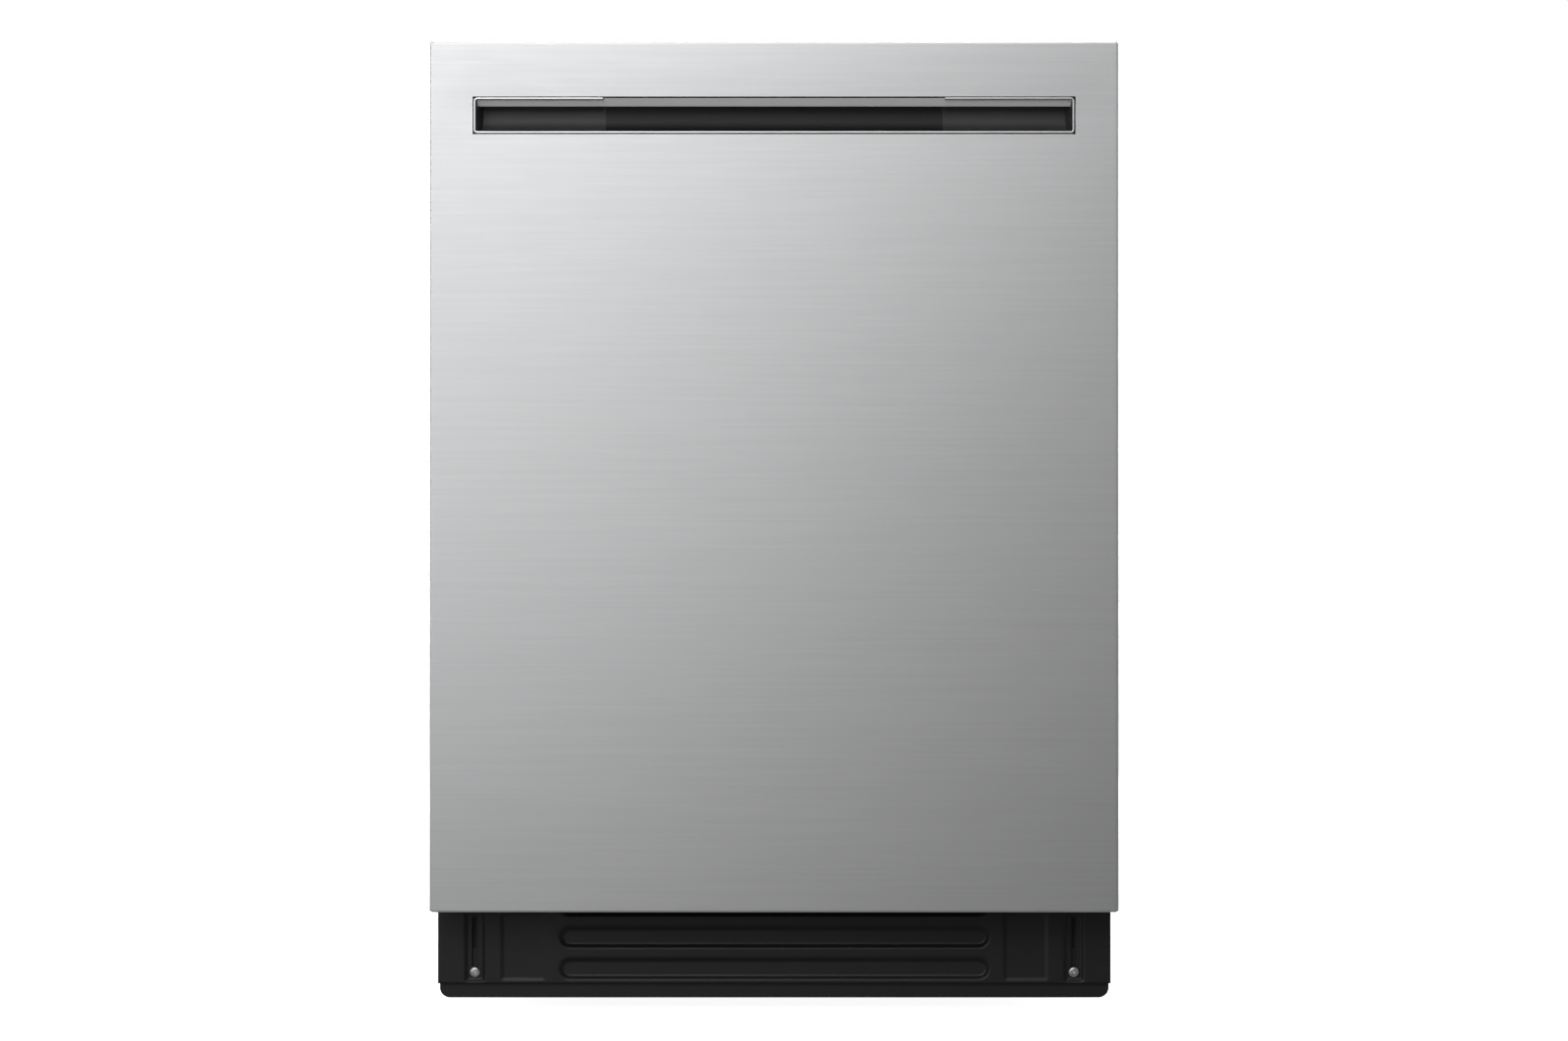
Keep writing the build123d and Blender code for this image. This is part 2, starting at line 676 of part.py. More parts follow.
# A shelf for cups on the left, hinged on a wire beside the rack's side.
with BuildPart() as cup_shelf:
    block((shelf_x, shelf_x + 108), (shelf_front + 2, shelf_back - 2), (shelf_z - 2, shelf_z + 2))
    for y in spread(-172, -28, 7):
        block((shelf_x + 16, shelf_x + 98), (y - 8, y + 8), (shelf_z - 5, shelf_z + 5), Mode.SUBTRACT)
    drum((shelf_x, -100, shelf_z), 4.0, 180, "Y")
    drum((shelf_x, -100, shelf_z), 1.5, 190, "Y", Mode.SUBTRACT)
save(cup_shelf.part, "cup_shelf")

with BuildPart() as rack_duct:
    block((-18, 18), (wash_y, 210), (duct_z - 7, duct_z + 6.5))
    drum((0, wash_y, duct_z - 0.25), 22.0, 13.5)
    drum((0, wash_y, 455), 12.0, 15)
    drum((0, 219, duct_z), 10.0, 30, "Y")
    block((-15.5, 15.5), (wash_y, 207), (duct_z - 4.5, duct_z + 4), Mode.SUBTRACT)
    drum((0, 219, duct_z), 7.0, 32, "Y", Mode.SUBTRACT)
    block((-30, 30), (190, 226), (duct_z + 6.5, duct_z + 30), Mode.SUBTRACT)
save(rack_duct.part, "rack_duct")

# Telescopic rails: fixed channels on the tub walls, and moving channels.
fixed_rails = []
for side in (-1, 1):
    with BuildPart() as channel:
        block((264.3, 274), (-242, 236), (rail_z - 15, rail_z + 15))
        block((263, 271), (-243, 232), (rail_z - 12, rail_z + 12), Mode.SUBTRACT)
        if side < 0:
            mirror(about=Plane.YZ, mode=Mode.REPLACE)
    fixed_rails.append(channel.part.solid())
    with BuildPart() as slider:
        block((254, 270.6), (-236, 226), (rail_z - 11, rail_z + 11))
        block((253, 268.8), (-237, 227), (rail_z - 9.5, rail_z + 9.5), Mode.SUBTRACT)
        if side < 0:
            mirror(about=Plane.YZ, mode=Mode.REPLACE)
    save(slider.part, f"rail_{'left' if side < 0 else 'right'}")
save_group(fixed_rails, "outer_rails")

# ================================================================ door, outside
# The skin is one sheet folded round the sides, the top and the bottom.
with BuildPart() as door_skin:
    block((-door_half, door_half), (front_y, front_y + skin_side_depth), (door_bottom, door_top))
    fillet(door_skin.edges().filter_by(Axis.Z).group_by(Axis.Y)[0], skin_bend)
    fillet(door_skin.faces().group_by(Axis.Z)[-1].edges().group_by(Axis.Y)[0], skin_bend)
    block(
        (-door_half + sheet, door_half - sheet),
        (front_y + sheet, 0),
        (door_bottom + sheet, door_top - sheet),
        Mode.SUBTRACT,
    )
    block((-door_half + 3, door_half - 3), (front_y + 8.5, 0), (door_top - 2, door_top + 1), Mode.SUBTRACT)
    block((-door_half + 3, door_half - 3), (front_y + 12, 0), (80, door_bottom + 2), Mode.SUBTRACT)
    for side in (-1, 1):
        x = side * (door_half - 1)
        block((x - 1.5, x + 1.5), (front_y + 4, 0), (door_top - 3, door_top + 1), Mode.SUBTRACT)
        block((x - 1.5, x + 1.5), (front_y + 4, 0), (80, door_bottom + 3), Mode.SUBTRACT)
    block(
        (-pocket_half - pocket_gap, pocket_half + pocket_gap),
        (front_y - 1, front_y + 2),
        (pocket_bottom - pocket_gap, pocket_top + pocket_gap),
        Mode.SUBTRACT,
    )
save(door_skin.part, "door_skin")

# The pocket is a moulded tray; fingers reach up behind the middle of its top.
with BuildPart() as pocket_hollow:
    block(
        (-pocket_half + bezel_width, pocket_half - bezel_width),
        (front_y + 1, pocket_back_y),
        (pocket_bottom + bezel_width, pocket_top - bezel_width),
    )
    back_edges = pocket_hollow.edges().filter_by(Axis.X).group_by(Axis.Y)[-1].sort_by(Axis.Z)
    fillet(back_edges[0], 12.0)
    fillet(back_edges[-1], 4.0)

with BuildPart() as handle_pocket:
    block((-pocket_half - 9, pocket_half + 9), (front_y + 1, front_y + 3), (762, grip_top + 8))
    block(
        (-pocket_half - 2, pocket_half + 2),
        (front_y + 1, pocket_back_y + 2),
        (pocket_bottom - 2, pocket_top + 2),
    )
    block((-grip_half - 2, grip_half + 2), (front_y + 1, pocket_back_y + 2), (pocket_top, grip_top + 2))
    block(
        (-pocket_half - pocket_gap, pocket_half + pocket_gap),
        (front_y, front_y + bezel_depth),
        (pocket_bottom - pocket_gap, pocket_top + pocket_gap),
        Mode.SUBTRACT,
    )
    add(pocket_hollow.part, mode=Mode.SUBTRACT)
    block((-grip_half, grip_half), (front_y + bezel_depth - 2, pocket_back_y), (790, grip_top), Mode.SUBTRACT)
save(handle_pocket.part, "handle_pocket")

# A bright trim round the pocket, left open along the grip.
with BuildPart() as bezel_window:
    block(
        (-pocket_half + bezel_width, pocket_half - bezel_width),
        (front_y - 1, front_y + bezel_depth + 1),
        (pocket_bottom + bezel_width, pocket_top - bezel_width),
    )
    fillet(bezel_window.edges().filter_by(Axis.Y), 1.5)

with BuildPart() as pocket_bezel:
    block((-pocket_half, pocket_half), (front_y, front_y + bezel_depth), (pocket_bottom, pocket_top))
    fillet(pocket_bezel.edges().filter_by(Axis.Y), 3.0)
    add(bezel_window.part, mode=Mode.SUBTRACT)
    block((-grip_half, grip_half), (front_y - 1, 0), (pocket_top - 5, pocket_top + 1), Mode.SUBTRACT)
save(pocket_bezel.part, "pocket_bezel")

# ----------------------------------------------------- control strip and keys
key_places = {"power": -250.0, "cycle": -110.0, "options": 110.0, "start": 250.0}
key_size = (30.0, 13.0)
key_y = -283.0
key_gap = 0.3
strip_top = door_top
with BuildPart() as control_panel:
    block((-299.5, 299.5), (front_y + 1.2, liner_rim_y), (liner_top, door_top - sheet))
    block((-297, 297), (front_y + 9, liner_rim_y), (door_top - sheet, strip_top))
    block((-296, 296), (front_y + 3.5, liner_rim_y - 3), (liner_top - 1, strip_top - 3), Mode.SUBTRACT)
    for x in key_places.values():
        block(
            (x - key_size[0] / 2 - key_gap, x + key_size[0] / 2 + key_gap),
            (key_y - key_size[1] / 2 - key_gap, key_y + key_size[1] / 2 + key_gap),
            (strip_top - 5, strip_top + 1),
            Mode.SUBTRACT,
        )
    block((-15, 15), (liner_rim_y - 5, liner_rim_y + 1), (liner_top - 1, 845), Mode.SUBTRACT)
    fillet(control_panel.edges().filter_by(Axis.X).group_by(Axis.Y)[-1].sort_by(Axis.Z)[-1], 2.0)
save(control_panel.part, "control_panel")

for name, x in key_places.items():
    with BuildPart() as key:
        block(
            (x - key_size[0] / 2, x + key_size[0] / 2),
            (key_y - key_size[1] / 2, key_y + key_size[1] / 2),
            (strip_top - 4, strip_top + 0.5),
        )
        fillet(key.edges().filter_by(Axis.Z), 3.0)
        chamfer(key.edges().group_by(Axis.Z)[-1], 0.5)
        block(
            (x - key_size[0] / 2 - 2, x + key_size[0] / 2 + 2),
            (key_y - key_size[1] / 2 - 2, key_y + key_size[1] / 2 + 2),
            (strip_top - 5.2, strip_top - 3.4),
        )
    save(key.part, f"button_{name}")

# --------------------------------------------------------- latch and keeper
with BuildPart() as door_latch:
    block((-30, 30), (-302, -266.5), (liner_top + 0.5, 846.5))
    block((-14, 14), (-290, -266), (839.8, 844.2), Mode.SUBTRACT)
save(door_latch.part, "door_latch")

with BuildPart() as latch_keeper:
    block((-12, 12), (tub_front, tub_front + sheet), (839, 848))
    block((-12, 12), (-282, tub_front + sheet), (841.2, 842.8))
    block((-6, 6), (-278, -270), (840, 844), Mode.SUBTRACT)
save(latch_keeper.part, "latch_keeper")

# ================================================================= door, inside
# The liner is one stainless pan: a raised rim that meets the seals, a recess
# inside it and walls that reach forwards into the skin.
liner_front = liner_rim_y - liner_depth


def recess_outline(grow):
    """The recess seen from behind: it runs off the bottom, with rounded top corners."""
    with BuildSketch(mode=Mode.PRIVATE) as outline:
        with Locations((0, recess_top + grow)):
            Rectangle(
                2 * (recess_half + grow),
                recess_top - liner_bottom + 60,
                align=(Align.CENTER, Align.MAX),
            )
        fillet(outline.vertices().group_by(Axis.Y)[-1], 40 + grow)
    return outline.sketch


with BuildPart() as liner_core:
    block(
        (-liner_half + sheet, liner_half - sheet),
        (liner_front - 1, liner_recess_y - sheet),
        (liner_bottom + sheet, liner_top - sheet),
    )
    with BuildSketch(Plane.XZ.offset(-(liner_rim_y - sheet))):
        with Locations((0, liner_bottom + sheet)):
            Rectangle(
                2 * (liner_half - sheet),
                liner_top - liner_bottom - 2 * sheet,
                align=(Align.CENTER, Align.MIN),
            )
        add(recess_outline(sheet), mode=Mode.SUBTRACT)
    extrude(amount=liner_rim_y - liner_recess_y + sheet)

with BuildPart() as door_liner:
    block((-liner_half, liner_half), (liner_front, liner_rim_y), (liner_bottom, liner_top))
    fillet(door_liner.edges().filter_by(Axis.Z).group_by(Axis.Y)[-1], 4.0)
    with BuildSketch(Plane.XZ.offset(-liner_rim_y)):
        add(recess_outline(0))
    extrude(amount=liner_rim_y - liner_recess_y, mode=Mode.SUBTRACT)
    add(liner_core.part, mode=Mode.SUBTRACT)
    block((-126, 66), (-300, -260), (404, 526), Mode.SUBTRACT)
    drum((190, -270, 690), 28.0, 30, "Y", Mode.SUBTRACT)
save(door_liner.part, "door_liner")

with BuildPart() as bottom_seal:
    block((-257, 257), (liner_recess_y, -257), (liner_bottom, liner_bottom + 11))
    fillet(bottom_seal.edges().filter_by(Axis.X).group_by(Axis.Y)[-1], 2.0)
save(bottom_seal.part, "door_bottom_seal")

with BuildPart() as door_vent:
    drum((190, -268, 690), 32.0, 4.9, "Y")
    fillet(door_vent.edges().group_by(Axis.Y)[-1], 1.5)
    drum((190, -277, 690), 27.5, 22, "Y")
    drum((190, -282, 690), 25.0, 24, "Y", Mode.SUBTRACT)
save(door_vent.part, "door_vent")

# The hinge arms carry the door: a long leg inside it and a short one behind
# the pivot, which the spring pulls down.
arm_x = 287.5
spring_hook = (hinge_y + 55.0, hinge_z)
for side, label in ((-1, "left"), (1, "right")):
    with BuildPart() as hinge_arm:
        with BuildSketch(Plane.YZ.offset(side * arm_x - 1.5)):
            with BuildLine():
                Polyline(
                    (-302, 330), (-286, 330), (-272, 150), (-266, 121), (-227, 120),
                )
                ThreePointArc((-227, 120), (-219, 112), (-227, 104))
                Polyline((-227, 104), (-288, 102), (-300, 116), (-302, 330))
            make_face()
            with Locations((hinge_y, hinge_z)):
                Circle(pivot_radius + running, mode=Mode.SUBTRACT)
            with Locations(spring_hook):
                Circle(3.0, mode=Mode.SUBTRACT)
        extrude(amount=3.0)
    save(hinge_arm.part, f"hinge_arm_{label}")

    reach = Vector(side * arm_x, *spring_hook)
    anchor_point = Vector(side * arm_x, anchor_y, anchor_z)
    pull_line = (anchor_point - reach).normalized()
    span = (anchor_point - reach).length
    coil_start, coil_end = reach + pull_line * 22, reach + pull_line * (span - 14)
    with BuildPart() as spring:
        with BuildSketch(Plane(origin=coil_start, z_dir=pull_line)):
            Circle(7.0)
        extrude(amount=(coil_end - coil_start).length)
        with BuildSketch(Plane(origin=reach + pull_line * 8.6, z_dir=pull_line)):
            Circle(1.2)
        extrude(amount=span - 8.6 - 3.2)
    save(spring.part, f"door_spring_{label}")

# ------------------------------------------------------- detergent dispenser
with BuildPart() as dispenser_body:
    block((-125, 65), (-292, -260), (405, 525))
    fillet(dispenser_body.edges().filter_by(Axis.Y), 10.0)
    block((-131, 71), (-270.5, -268.7), (399, 531))
    block((-112, -38), (-284, -259), (440, 506), Mode.SUBTRACT)
    drum((22, -268, 470), 15.0, 20, "Y", Mode.SUBTRACT)
save(dispenser_body.part, "dispenser_body")

with BuildPart() as dispenser_lid:
    block((-117, -33), (-259.6, -255.6), (434, 512))
    fillet(dispenser_lid.edges().filter_by(Axis.Y), 6.0)
    block((-86, -64), (-255.6, -252.6), (438, 446))
save(dispenser_lid.part, "dispenser_lid")

with BuildPart() as rinse_cap:
    drum((22, -257.4, 470), 19.0, 4.4, "Y")
    drum((22, -265, 470), 14.0, 12, "Y")
    block((10, 34), (-255.2, -252.2), (467.5, 472.5))
save(rinse_cap.part, "rinse_aid_cap")
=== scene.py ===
"""Visible model of a built-in dishwasher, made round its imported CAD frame.

Each sub-assembly is a class that holds its sizes, builds its meshes in the
frame's own coordinates and gives them a finish and a body. Sizes are in
millimetres; meshes are in metres. +X is right, -Y the door's front, +Z up.
"""

from __future__ import annotations

import json
import logging
import math
from collections.abc import Callable, Iterable, Sequence
from dataclasses import dataclass
from enum import Enum
from functools import cache

import bmesh
import bpy
from mathutils import Matrix, Vector


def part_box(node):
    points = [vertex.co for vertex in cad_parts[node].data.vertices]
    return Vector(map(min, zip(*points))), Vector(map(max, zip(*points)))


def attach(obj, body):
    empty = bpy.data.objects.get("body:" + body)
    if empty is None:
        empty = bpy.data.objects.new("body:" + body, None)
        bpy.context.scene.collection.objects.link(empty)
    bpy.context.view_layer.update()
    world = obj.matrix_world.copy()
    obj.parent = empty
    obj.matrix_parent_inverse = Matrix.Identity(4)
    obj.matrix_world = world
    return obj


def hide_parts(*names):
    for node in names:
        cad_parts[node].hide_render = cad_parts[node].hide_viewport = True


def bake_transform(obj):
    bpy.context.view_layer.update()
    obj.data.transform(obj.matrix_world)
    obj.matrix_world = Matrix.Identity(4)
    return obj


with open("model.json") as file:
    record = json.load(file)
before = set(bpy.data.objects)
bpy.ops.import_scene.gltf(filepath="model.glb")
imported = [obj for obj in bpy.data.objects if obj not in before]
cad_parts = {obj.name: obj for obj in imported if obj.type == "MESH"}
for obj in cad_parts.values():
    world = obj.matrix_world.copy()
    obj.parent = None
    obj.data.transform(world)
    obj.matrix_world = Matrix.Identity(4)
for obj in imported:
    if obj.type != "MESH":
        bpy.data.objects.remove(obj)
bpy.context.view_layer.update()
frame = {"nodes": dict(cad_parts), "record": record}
BODIES: dict[str, list[str]] = frame["record"]["behaviour"]["bodies"]
BODY_OF = {node: body for body, nodes in BODIES.items() for node in nodes}
MM = 0.001
LOG = logging.getLogger("dishwasher")

Point = tuple[float, float, float]
Pair = tuple[float, float]
Line = tuple[list[Point], bool]


# ------------------------------------------------------------------- finishes
class Pattern(Enum):
    """How a surface is worked, which sets the marks that its material draws."""

    BRUSHED = "fine straight lines"
    MILLED = "bright rolled sheet with faint clouds"
    MOULDED = "spark eroded plastic"
    POWDER = "orange peel of a powder coat"
    RUBBER = "soft matt rubber with a faint bloom"
    FELT = "needled fibres"
    PLATED = "small zinc crystals"


@dataclass(frozen=True)
class Finish:
    """One surface finish: its colour, its gloss and the marks on it."""

    slot: str
    colour: Point
    roughness: float
    pattern: Pattern
    metallic: float = 0.0
    pitch: float = 1.0
    relief: float = 0.01
    drift: float = 0.08
    coat: float = 0.0
    sheen: float = 0.0
    along: Point = (1.0, 0.0, 0.0)
    label: str = ""

    def stretch(self) -> Point:
        """Scale of the fine marks on each axis, in marks per metre."""
        fine = 1 / (self.pitch * MM)
        if self.pattern is not Pattern.BRUSHED:
            return (fine, fine, fine)
        return tuple(fine * (1 - share) + 24 * share for share in self.along)

    def material(self) -> bpy.types.Material:
        """The finish as a node material, made once for each finish."""
        return material_of(self)


@cache
def material_of(finish: Finish) -> bpy.types.Material:
    """Builds the node material of a finish.

    Args:
        finish: the finish to draw.

    Returns:
        The material, on Object coordinates.
    """
    made = bpy.data.materials.new(finish.label or finish.slot)
    made.use_nodes = True
    nodes, links = made.node_tree.nodes, made.node_tree.links
    shader = nodes["Principled BSDF"]
    shader.inputs["Metallic"].default_value = finish.metallic
    shader.inputs["Coat Weight"].default_value = finish.coat
    shader.inputs["Sheen Weight"].default_value = finish.sheen
    where = nodes.new("ShaderNodeTexCoord").outputs["Object"]

    def noise(scale: Point, detail: float, rough: float) -> bpy.types.NodeSocket:
        """A noise drawn at the given scale on each axis."""
        mapping = nodes.new("ShaderNodeMapping")
        mapping.inputs["Scale"].default_value = scale
        links.new(where, mapping.inputs["Vector"])
        texture = nodes.new("ShaderNodeTexNoise")
        texture.inputs["Scale"].default_value = 1.0
        texture.inputs["Detail"].default_value = detail
        texture.inputs["Roughness"].default_value = rough
        links.new(mapping.outputs["Vector"], texture.inputs["Vector"])
        return texture.outputs["Fac"]

    def spread(value: bpy.types.NodeSocket, low: float, high: float) -> bpy.types.NodeSocket:
        """Turns a noise, which lies about 0.3 to 0.7, into low to high."""
        ranged = nodes.new("ShaderNodeMapRange")
        ranged.inputs["From Min"].default_value = 0.3
        ranged.inputs["From Max"].default_value = 0.7
        ranged.inputs["To Min"].default_value = low
        ranged.inputs["To Max"].default_value = high
        links.new(value, ranged.inputs["Value"])
        return ranged.outputs["Result"]

    fine = noise(finish.stretch(), 3.0, 0.6)
    if finish.pattern is Pattern.BRUSHED:
        cloud = noise(tuple(n * 0.22 + 2 for n in finish.stretch()), 2.0, 0.5)
    else:
        cloud = noise((14.0, 14.0, 14.0), 3.0, 0.55)
    if finish.pattern is Pattern.PLATED:
        crystal = nodes.new("ShaderNodeTexVoronoi")
        crystal.inputs["Scale"].default_value = 1 / (finish.pitch * MM)
        links.new(where, crystal.inputs["Vector"])
        cloud = crystal.outputs["Distance"]

    tint = nodes.new("ShaderNodeMix")
    tint.data_type = "RGBA"
    dark = tuple(c * (1 - finish.drift) for c in finish.colour)
    light = tuple(min(1.0, c * (1 + finish.drift)) for c in finish.colour)
    tint.inputs["A"].default_value = (*dark, 1)
    tint.inputs["B"].default_value = (*light, 1)
    links.new(spread(cloud, 0.0, 1.0), tint.inputs["Factor"])
    links.new(tint.outputs["Result"], shader.inputs["Base Color"])
    swing = 0.035 if finish.metallic else 0.07
    links.new(
        spread(fine, max(0.02, finish.roughness - swing), min(1.0, finish.roughness + swing)),
        shader.inputs["Roughness"],
    )
    bump = nodes.new("ShaderNodeBump")
    bump.inputs["Strength"].default_value = 0.6
    bump.inputs["Distance"].default_value = finish.relief * MM
    links.new(fine, bump.inputs["Height"])
    links.new(bump.outputs["Normal"], shader.inputs["Normal"])
    return made


FRONT_STEEL = Finish("front_steel", (0.66, 0.665, 0.672), 0.42, Pattern.BRUSHED, 1.0, 0.55, 0.004, 0.022)
TRIM = Finish("trim_chrome", (0.58, 0.585, 0.59), 0.3, Pattern.BRUSHED, 1.0, 0.4, 0.002, 0.03)
# The tray's dark grey; across the grip in the centre it stays darker than the ends as painted shade of the
# deep grip.
POCKET = Finish("pocket_grey", (0.018, 0.018, 0.019), 0.55, Pattern.MOULDED, 0.0, 0.6, 0.012, 0.08)
# A lighter copy of the same grey for the tray's ends: lit and shaded copies of one plastic, so that the
# centre carries painted shade of the grip.
POCKET_END_PAINTED_LIGHTER = Finish(
    "pocket_grey", (0.06, 0.06, 0.063), 0.5, Pattern.MOULDED, 0.0, 0.6, 0.012, 0.08, label="pocket_end_painted_lighter"
)
# A pale copy of the pocket's grey, painted on the underside of the lip as a painted highlight in place of
# light bounced up from below.
POCKET_LIP_PAINTED_LIGHT = Finish(
    "pocket_grey", (0.86, 0.86, 0.865), 0.4, Pattern.MOULDED, 0.0, 0.6, 0.01, 0.03, label="pocket_lip_painted_light"
)
TUB_STEEL = Finish("tub_steel", (0.62, 0.625, 0.63), 0.3, Pattern.MILLED, 1.0, 2.2, 0.004, 0.05)
FRAME_ZINC = Finish("frame_zinc", (0.55, 0.56, 0.57), 0.38, Pattern.PLATED, 1.0, 7.0, 0.01, 0.16)
SPRING_STEEL = Finish("spring_steel", (0.36, 0.36, 0.37), 0.3, Pattern.MILLED, 1.0, 1.0, 0.004, 0.12)
RAIL_STEEL = Finish(
    "rail_steel", (0.66, 0.66, 0.67), 0.28, Pattern.BRUSHED, 1.0, 0.6, 0.003, 0.05, along=(0.0, 1.0, 0.0)
)
KICK_BLACK = Finish("kick_black", (0.0095, 0.0095, 0.0098), 0.44, Pattern.POWDER, 0.0, 0.9, 0.02, 0.1)
SCREW_ZINC = Finish("screw_zinc", (0.7, 0.7, 0.68), 0.3, Pattern.PLATED, 1.0, 1.4, 0.006, 0.1)
BASE_PLASTIC = Finish("base_plastic", (0.032, 0.033, 0.035), 0.6, Pattern.MOULDED, 0.0, 0.9, 0.04, 0.14)
FOOT_PLASTIC = Finish("foot_plastic", (0.05, 0.05, 0.052), 0.5, Pattern.MOULDED, 0.0, 0.7, 0.02, 0.1)
PUMP_PLASTIC = Finish("pump_plastic", (0.11, 0.112, 0.118), 0.46, Pattern.MOULDED, 0.0, 0.8, 0.02, 0.1)
PANEL_BLACK = Finish("panel_black", (0.014, 0.014, 0.015), 0.3, Pattern.MOULDED, 0.0, 0.5, 0.005, 0.06, 0.15)
KEY_GREY = Finish("key_grey", (0.12, 0.12, 0.125), 0.34, Pattern.MOULDED, 0.0, 0.5, 0.006, 0.05, 0.1)
SEAL_RUBBER = Finish("seal_rubber", (0.03, 0.03, 0.031), 0.66, Pattern.RUBBER, 0.0, 1.2, 0.02, 0.2)
RACK_COATING = Finish("rack_coating", (0.43, 0.445, 0.46), 0.4, Pattern.POWDER, 0.0, 1.5, 0.02, 0.08, 0.1)
RACK_PLASTIC = Finish("rack_plastic", (0.5, 0.51, 0.52), 0.42, Pattern.MOULDED, 0.0, 0.8, 0.015, 0.05)
WASH_PLASTIC = Finish("wash_plastic", (0.3, 0.305, 0.31), 0.4, Pattern.MOULDED, 0.0, 0.8, 0.015, 0.06)
SUMP_PLASTIC = Finish("sump_plastic", (0.08, 0.08, 0.084), 0.48, Pattern.MOULDED, 0.0, 0.9, 0.02, 0.1)
FILTER_MESH = Finish("filter_mesh", (0.5, 0.5, 0.51), 0.36, Pattern.MILLED, 1.0, 0.7, 0.01, 0.08)
DISPENSER = Finish("dispenser_plastic", (0.46, 0.465, 0.47), 0.38, Pattern.MOULDED, 0.0, 0.7, 0.01, 0.04)
FELT = Finish("felt", (0.075, 0.078, 0.085), 0.95, Pattern.FELT, 0.0, 0.7, 0.5, 0.16, sheen=0.3)
FINISHES = {
    finish.slot: finish
    for finish in (
        FRONT_STEEL, TRIM, POCKET, TUB_STEEL, FRAME_ZINC, SPRING_STEEL, RAIL_STEEL, KICK_BLACK,
        SCREW_ZINC, BASE_PLASTIC, FOOT_PLASTIC, PUMP_PLASTIC, PANEL_BLACK, KEY_GREY, SEAL_RUBBER,
        RACK_COATING, RACK_PLASTIC, WASH_PLASTIC, SUMP_PLASTIC, FILTER_MESH, DISPENSER, FELT,
    )
}
SLOT_OF = {part["node"]: part["material_slot"] for part in frame["record"]["subparts"]}


# -------------------------------------------------------------- mesh workshop
def link(name: str, mesh: bpy.types.Mesh) -> bpy.types.Object:
    """Puts a mesh in the scene as an object of that name."""
    made = bpy.data.objects.new(name, mesh)
    bpy.context.scene.collection.objects.link(made)
    return made


def from_bmesh(name: str, bm: bmesh.types.BMesh) -> bpy.types.Object:
    """Turns a bmesh into an object, and frees the bmesh."""
    mesh = bpy.data.meshes.new(name)
    bm.to_mesh(mesh)
    bm.free()
    return link(name, mesh)


def settle(piece: bpy.types.Object, sharp: float = 32.0) -> bpy.types.Object:
    """Applies a piece's modifiers and shades it smooth up to an angle.

    Args:
        piece: the object, whose modifiers are applied and removed.
        sharp: the angle in degrees from which an edge stays sharp.

    Returns:
        The same object with a plain mesh.
    """
    before = piece.data
    before.polygons.foreach_set("use_smooth", [True] * len(before.polygons))
    before.set_sharp_from_angle(angle=math.radians(sharp))
    weight = piece.modifiers.new("weight", "WEIGHTED_NORMAL")
    weight.keep_sharp = True
    graph = bpy.context.evaluated_depsgraph_get()
    graph.update()
    mesh = bpy.data.meshes.new_from_object(piece.evaluated_get(graph))
    piece.modifiers.clear()
    piece.data = mesh
    bpy.data.meshes.remove(before)
    return piece


def thicken(piece: bpy.types.Object, thickness: float) -> bpy.types.Object:
    """Gives an open sheet a wall behind its outer face, in millimetres."""
    wall = piece.modifiers.new("wall", "SOLIDIFY")
    wall.thickness = thickness * MM
    wall.offset = -1
    wall.use_even_offset = True
    return piece


def ease(piece: bpy.types.Object, width: float, segments: int = 2) -> bpy.types.Object:
    """Rounds a piece's sharp edges by a width in millimetres."""
    edge = piece.modifiers.new("edge", "BEVEL")
    edge.width = width * MM
    edge.segments = segments
    edge.limit_method = "ANGLE"
    edge.angle_limit = math.radians(34)
    edge.miter_outer = "MITER_ARC"
    return piece


def joined(name: str, pieces: Sequence[bpy.types.Object]) -> bpy.types.Object:
    """Joins plain meshes into one object, and removes the separate ones."""
    bm = bmesh.new()
    for piece in pieces:
        bm.from_mesh(piece.data)
    for piece in pieces:
        mesh = piece.data
        bpy.data.objects.remove(piece)
        bpy.data.meshes.remove(mesh)
    made = from_bmesh(name, bm)
    made.data.polygons.foreach_set("use_smooth", [True] * len(made.data.polygons))
    made.data.set_sharp_from_angle(angle=math.radians(32))
    return made


def dress(
    piece: bpy.types.Object, finish: Finish, body: str, *stands_for: str
) -> bpy.types.Object:
    """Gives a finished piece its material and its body.

    Args:
        piece: the finished piece, at the origin.
        finish: its surface finish.
        body: the CAD body it moves with.
        stands_for: the CAD nodes that it hides.

    Returns:
        The same piece.
    """
    piece.data.materials.clear()
    piece.data.materials.append(finish.material())
    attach(piece, body)
    if stands_for:
        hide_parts(*stands_for)
    LOG.info("%s on %s, %d faces", piece.name, body, len(piece.data.polygons))
    return piece


def fine_copy(node: str, width: float = 0.35) -> bpy.types.Object:
    """Copies a CAD node's mesh, merges it and rounds its edges.

    Args:
        node: the CAD node.
        width: how wide its edges are rounded, in millimetres.

    Returns:
        The new piece, which isn't dressed yet.
    """
    bm = bmesh.new()
    bm.from_mesh(frame["nodes"][node].data)
    bmesh.ops.remove_doubles(bm, verts=bm.verts, dist=2e-6)
    bmesh.ops.dissolve_limit(bm, angle_limit=math.radians(0.8), verts=bm.verts, edges=bm.edges)
    return settle(ease(from_bmesh(f"{node}_body", bm), width))


def finish_node(node: str, width: float = 0.35, finish: Finish | None = None) -> bpy.types.Object:
    """Replaces a CAD node by its fine copy, in the finish of its slot."""
    chosen = finish or FINISHES[SLOT_OF[node]]
    return dress(fine_copy(node, width), chosen, BODY_OF[node], node)


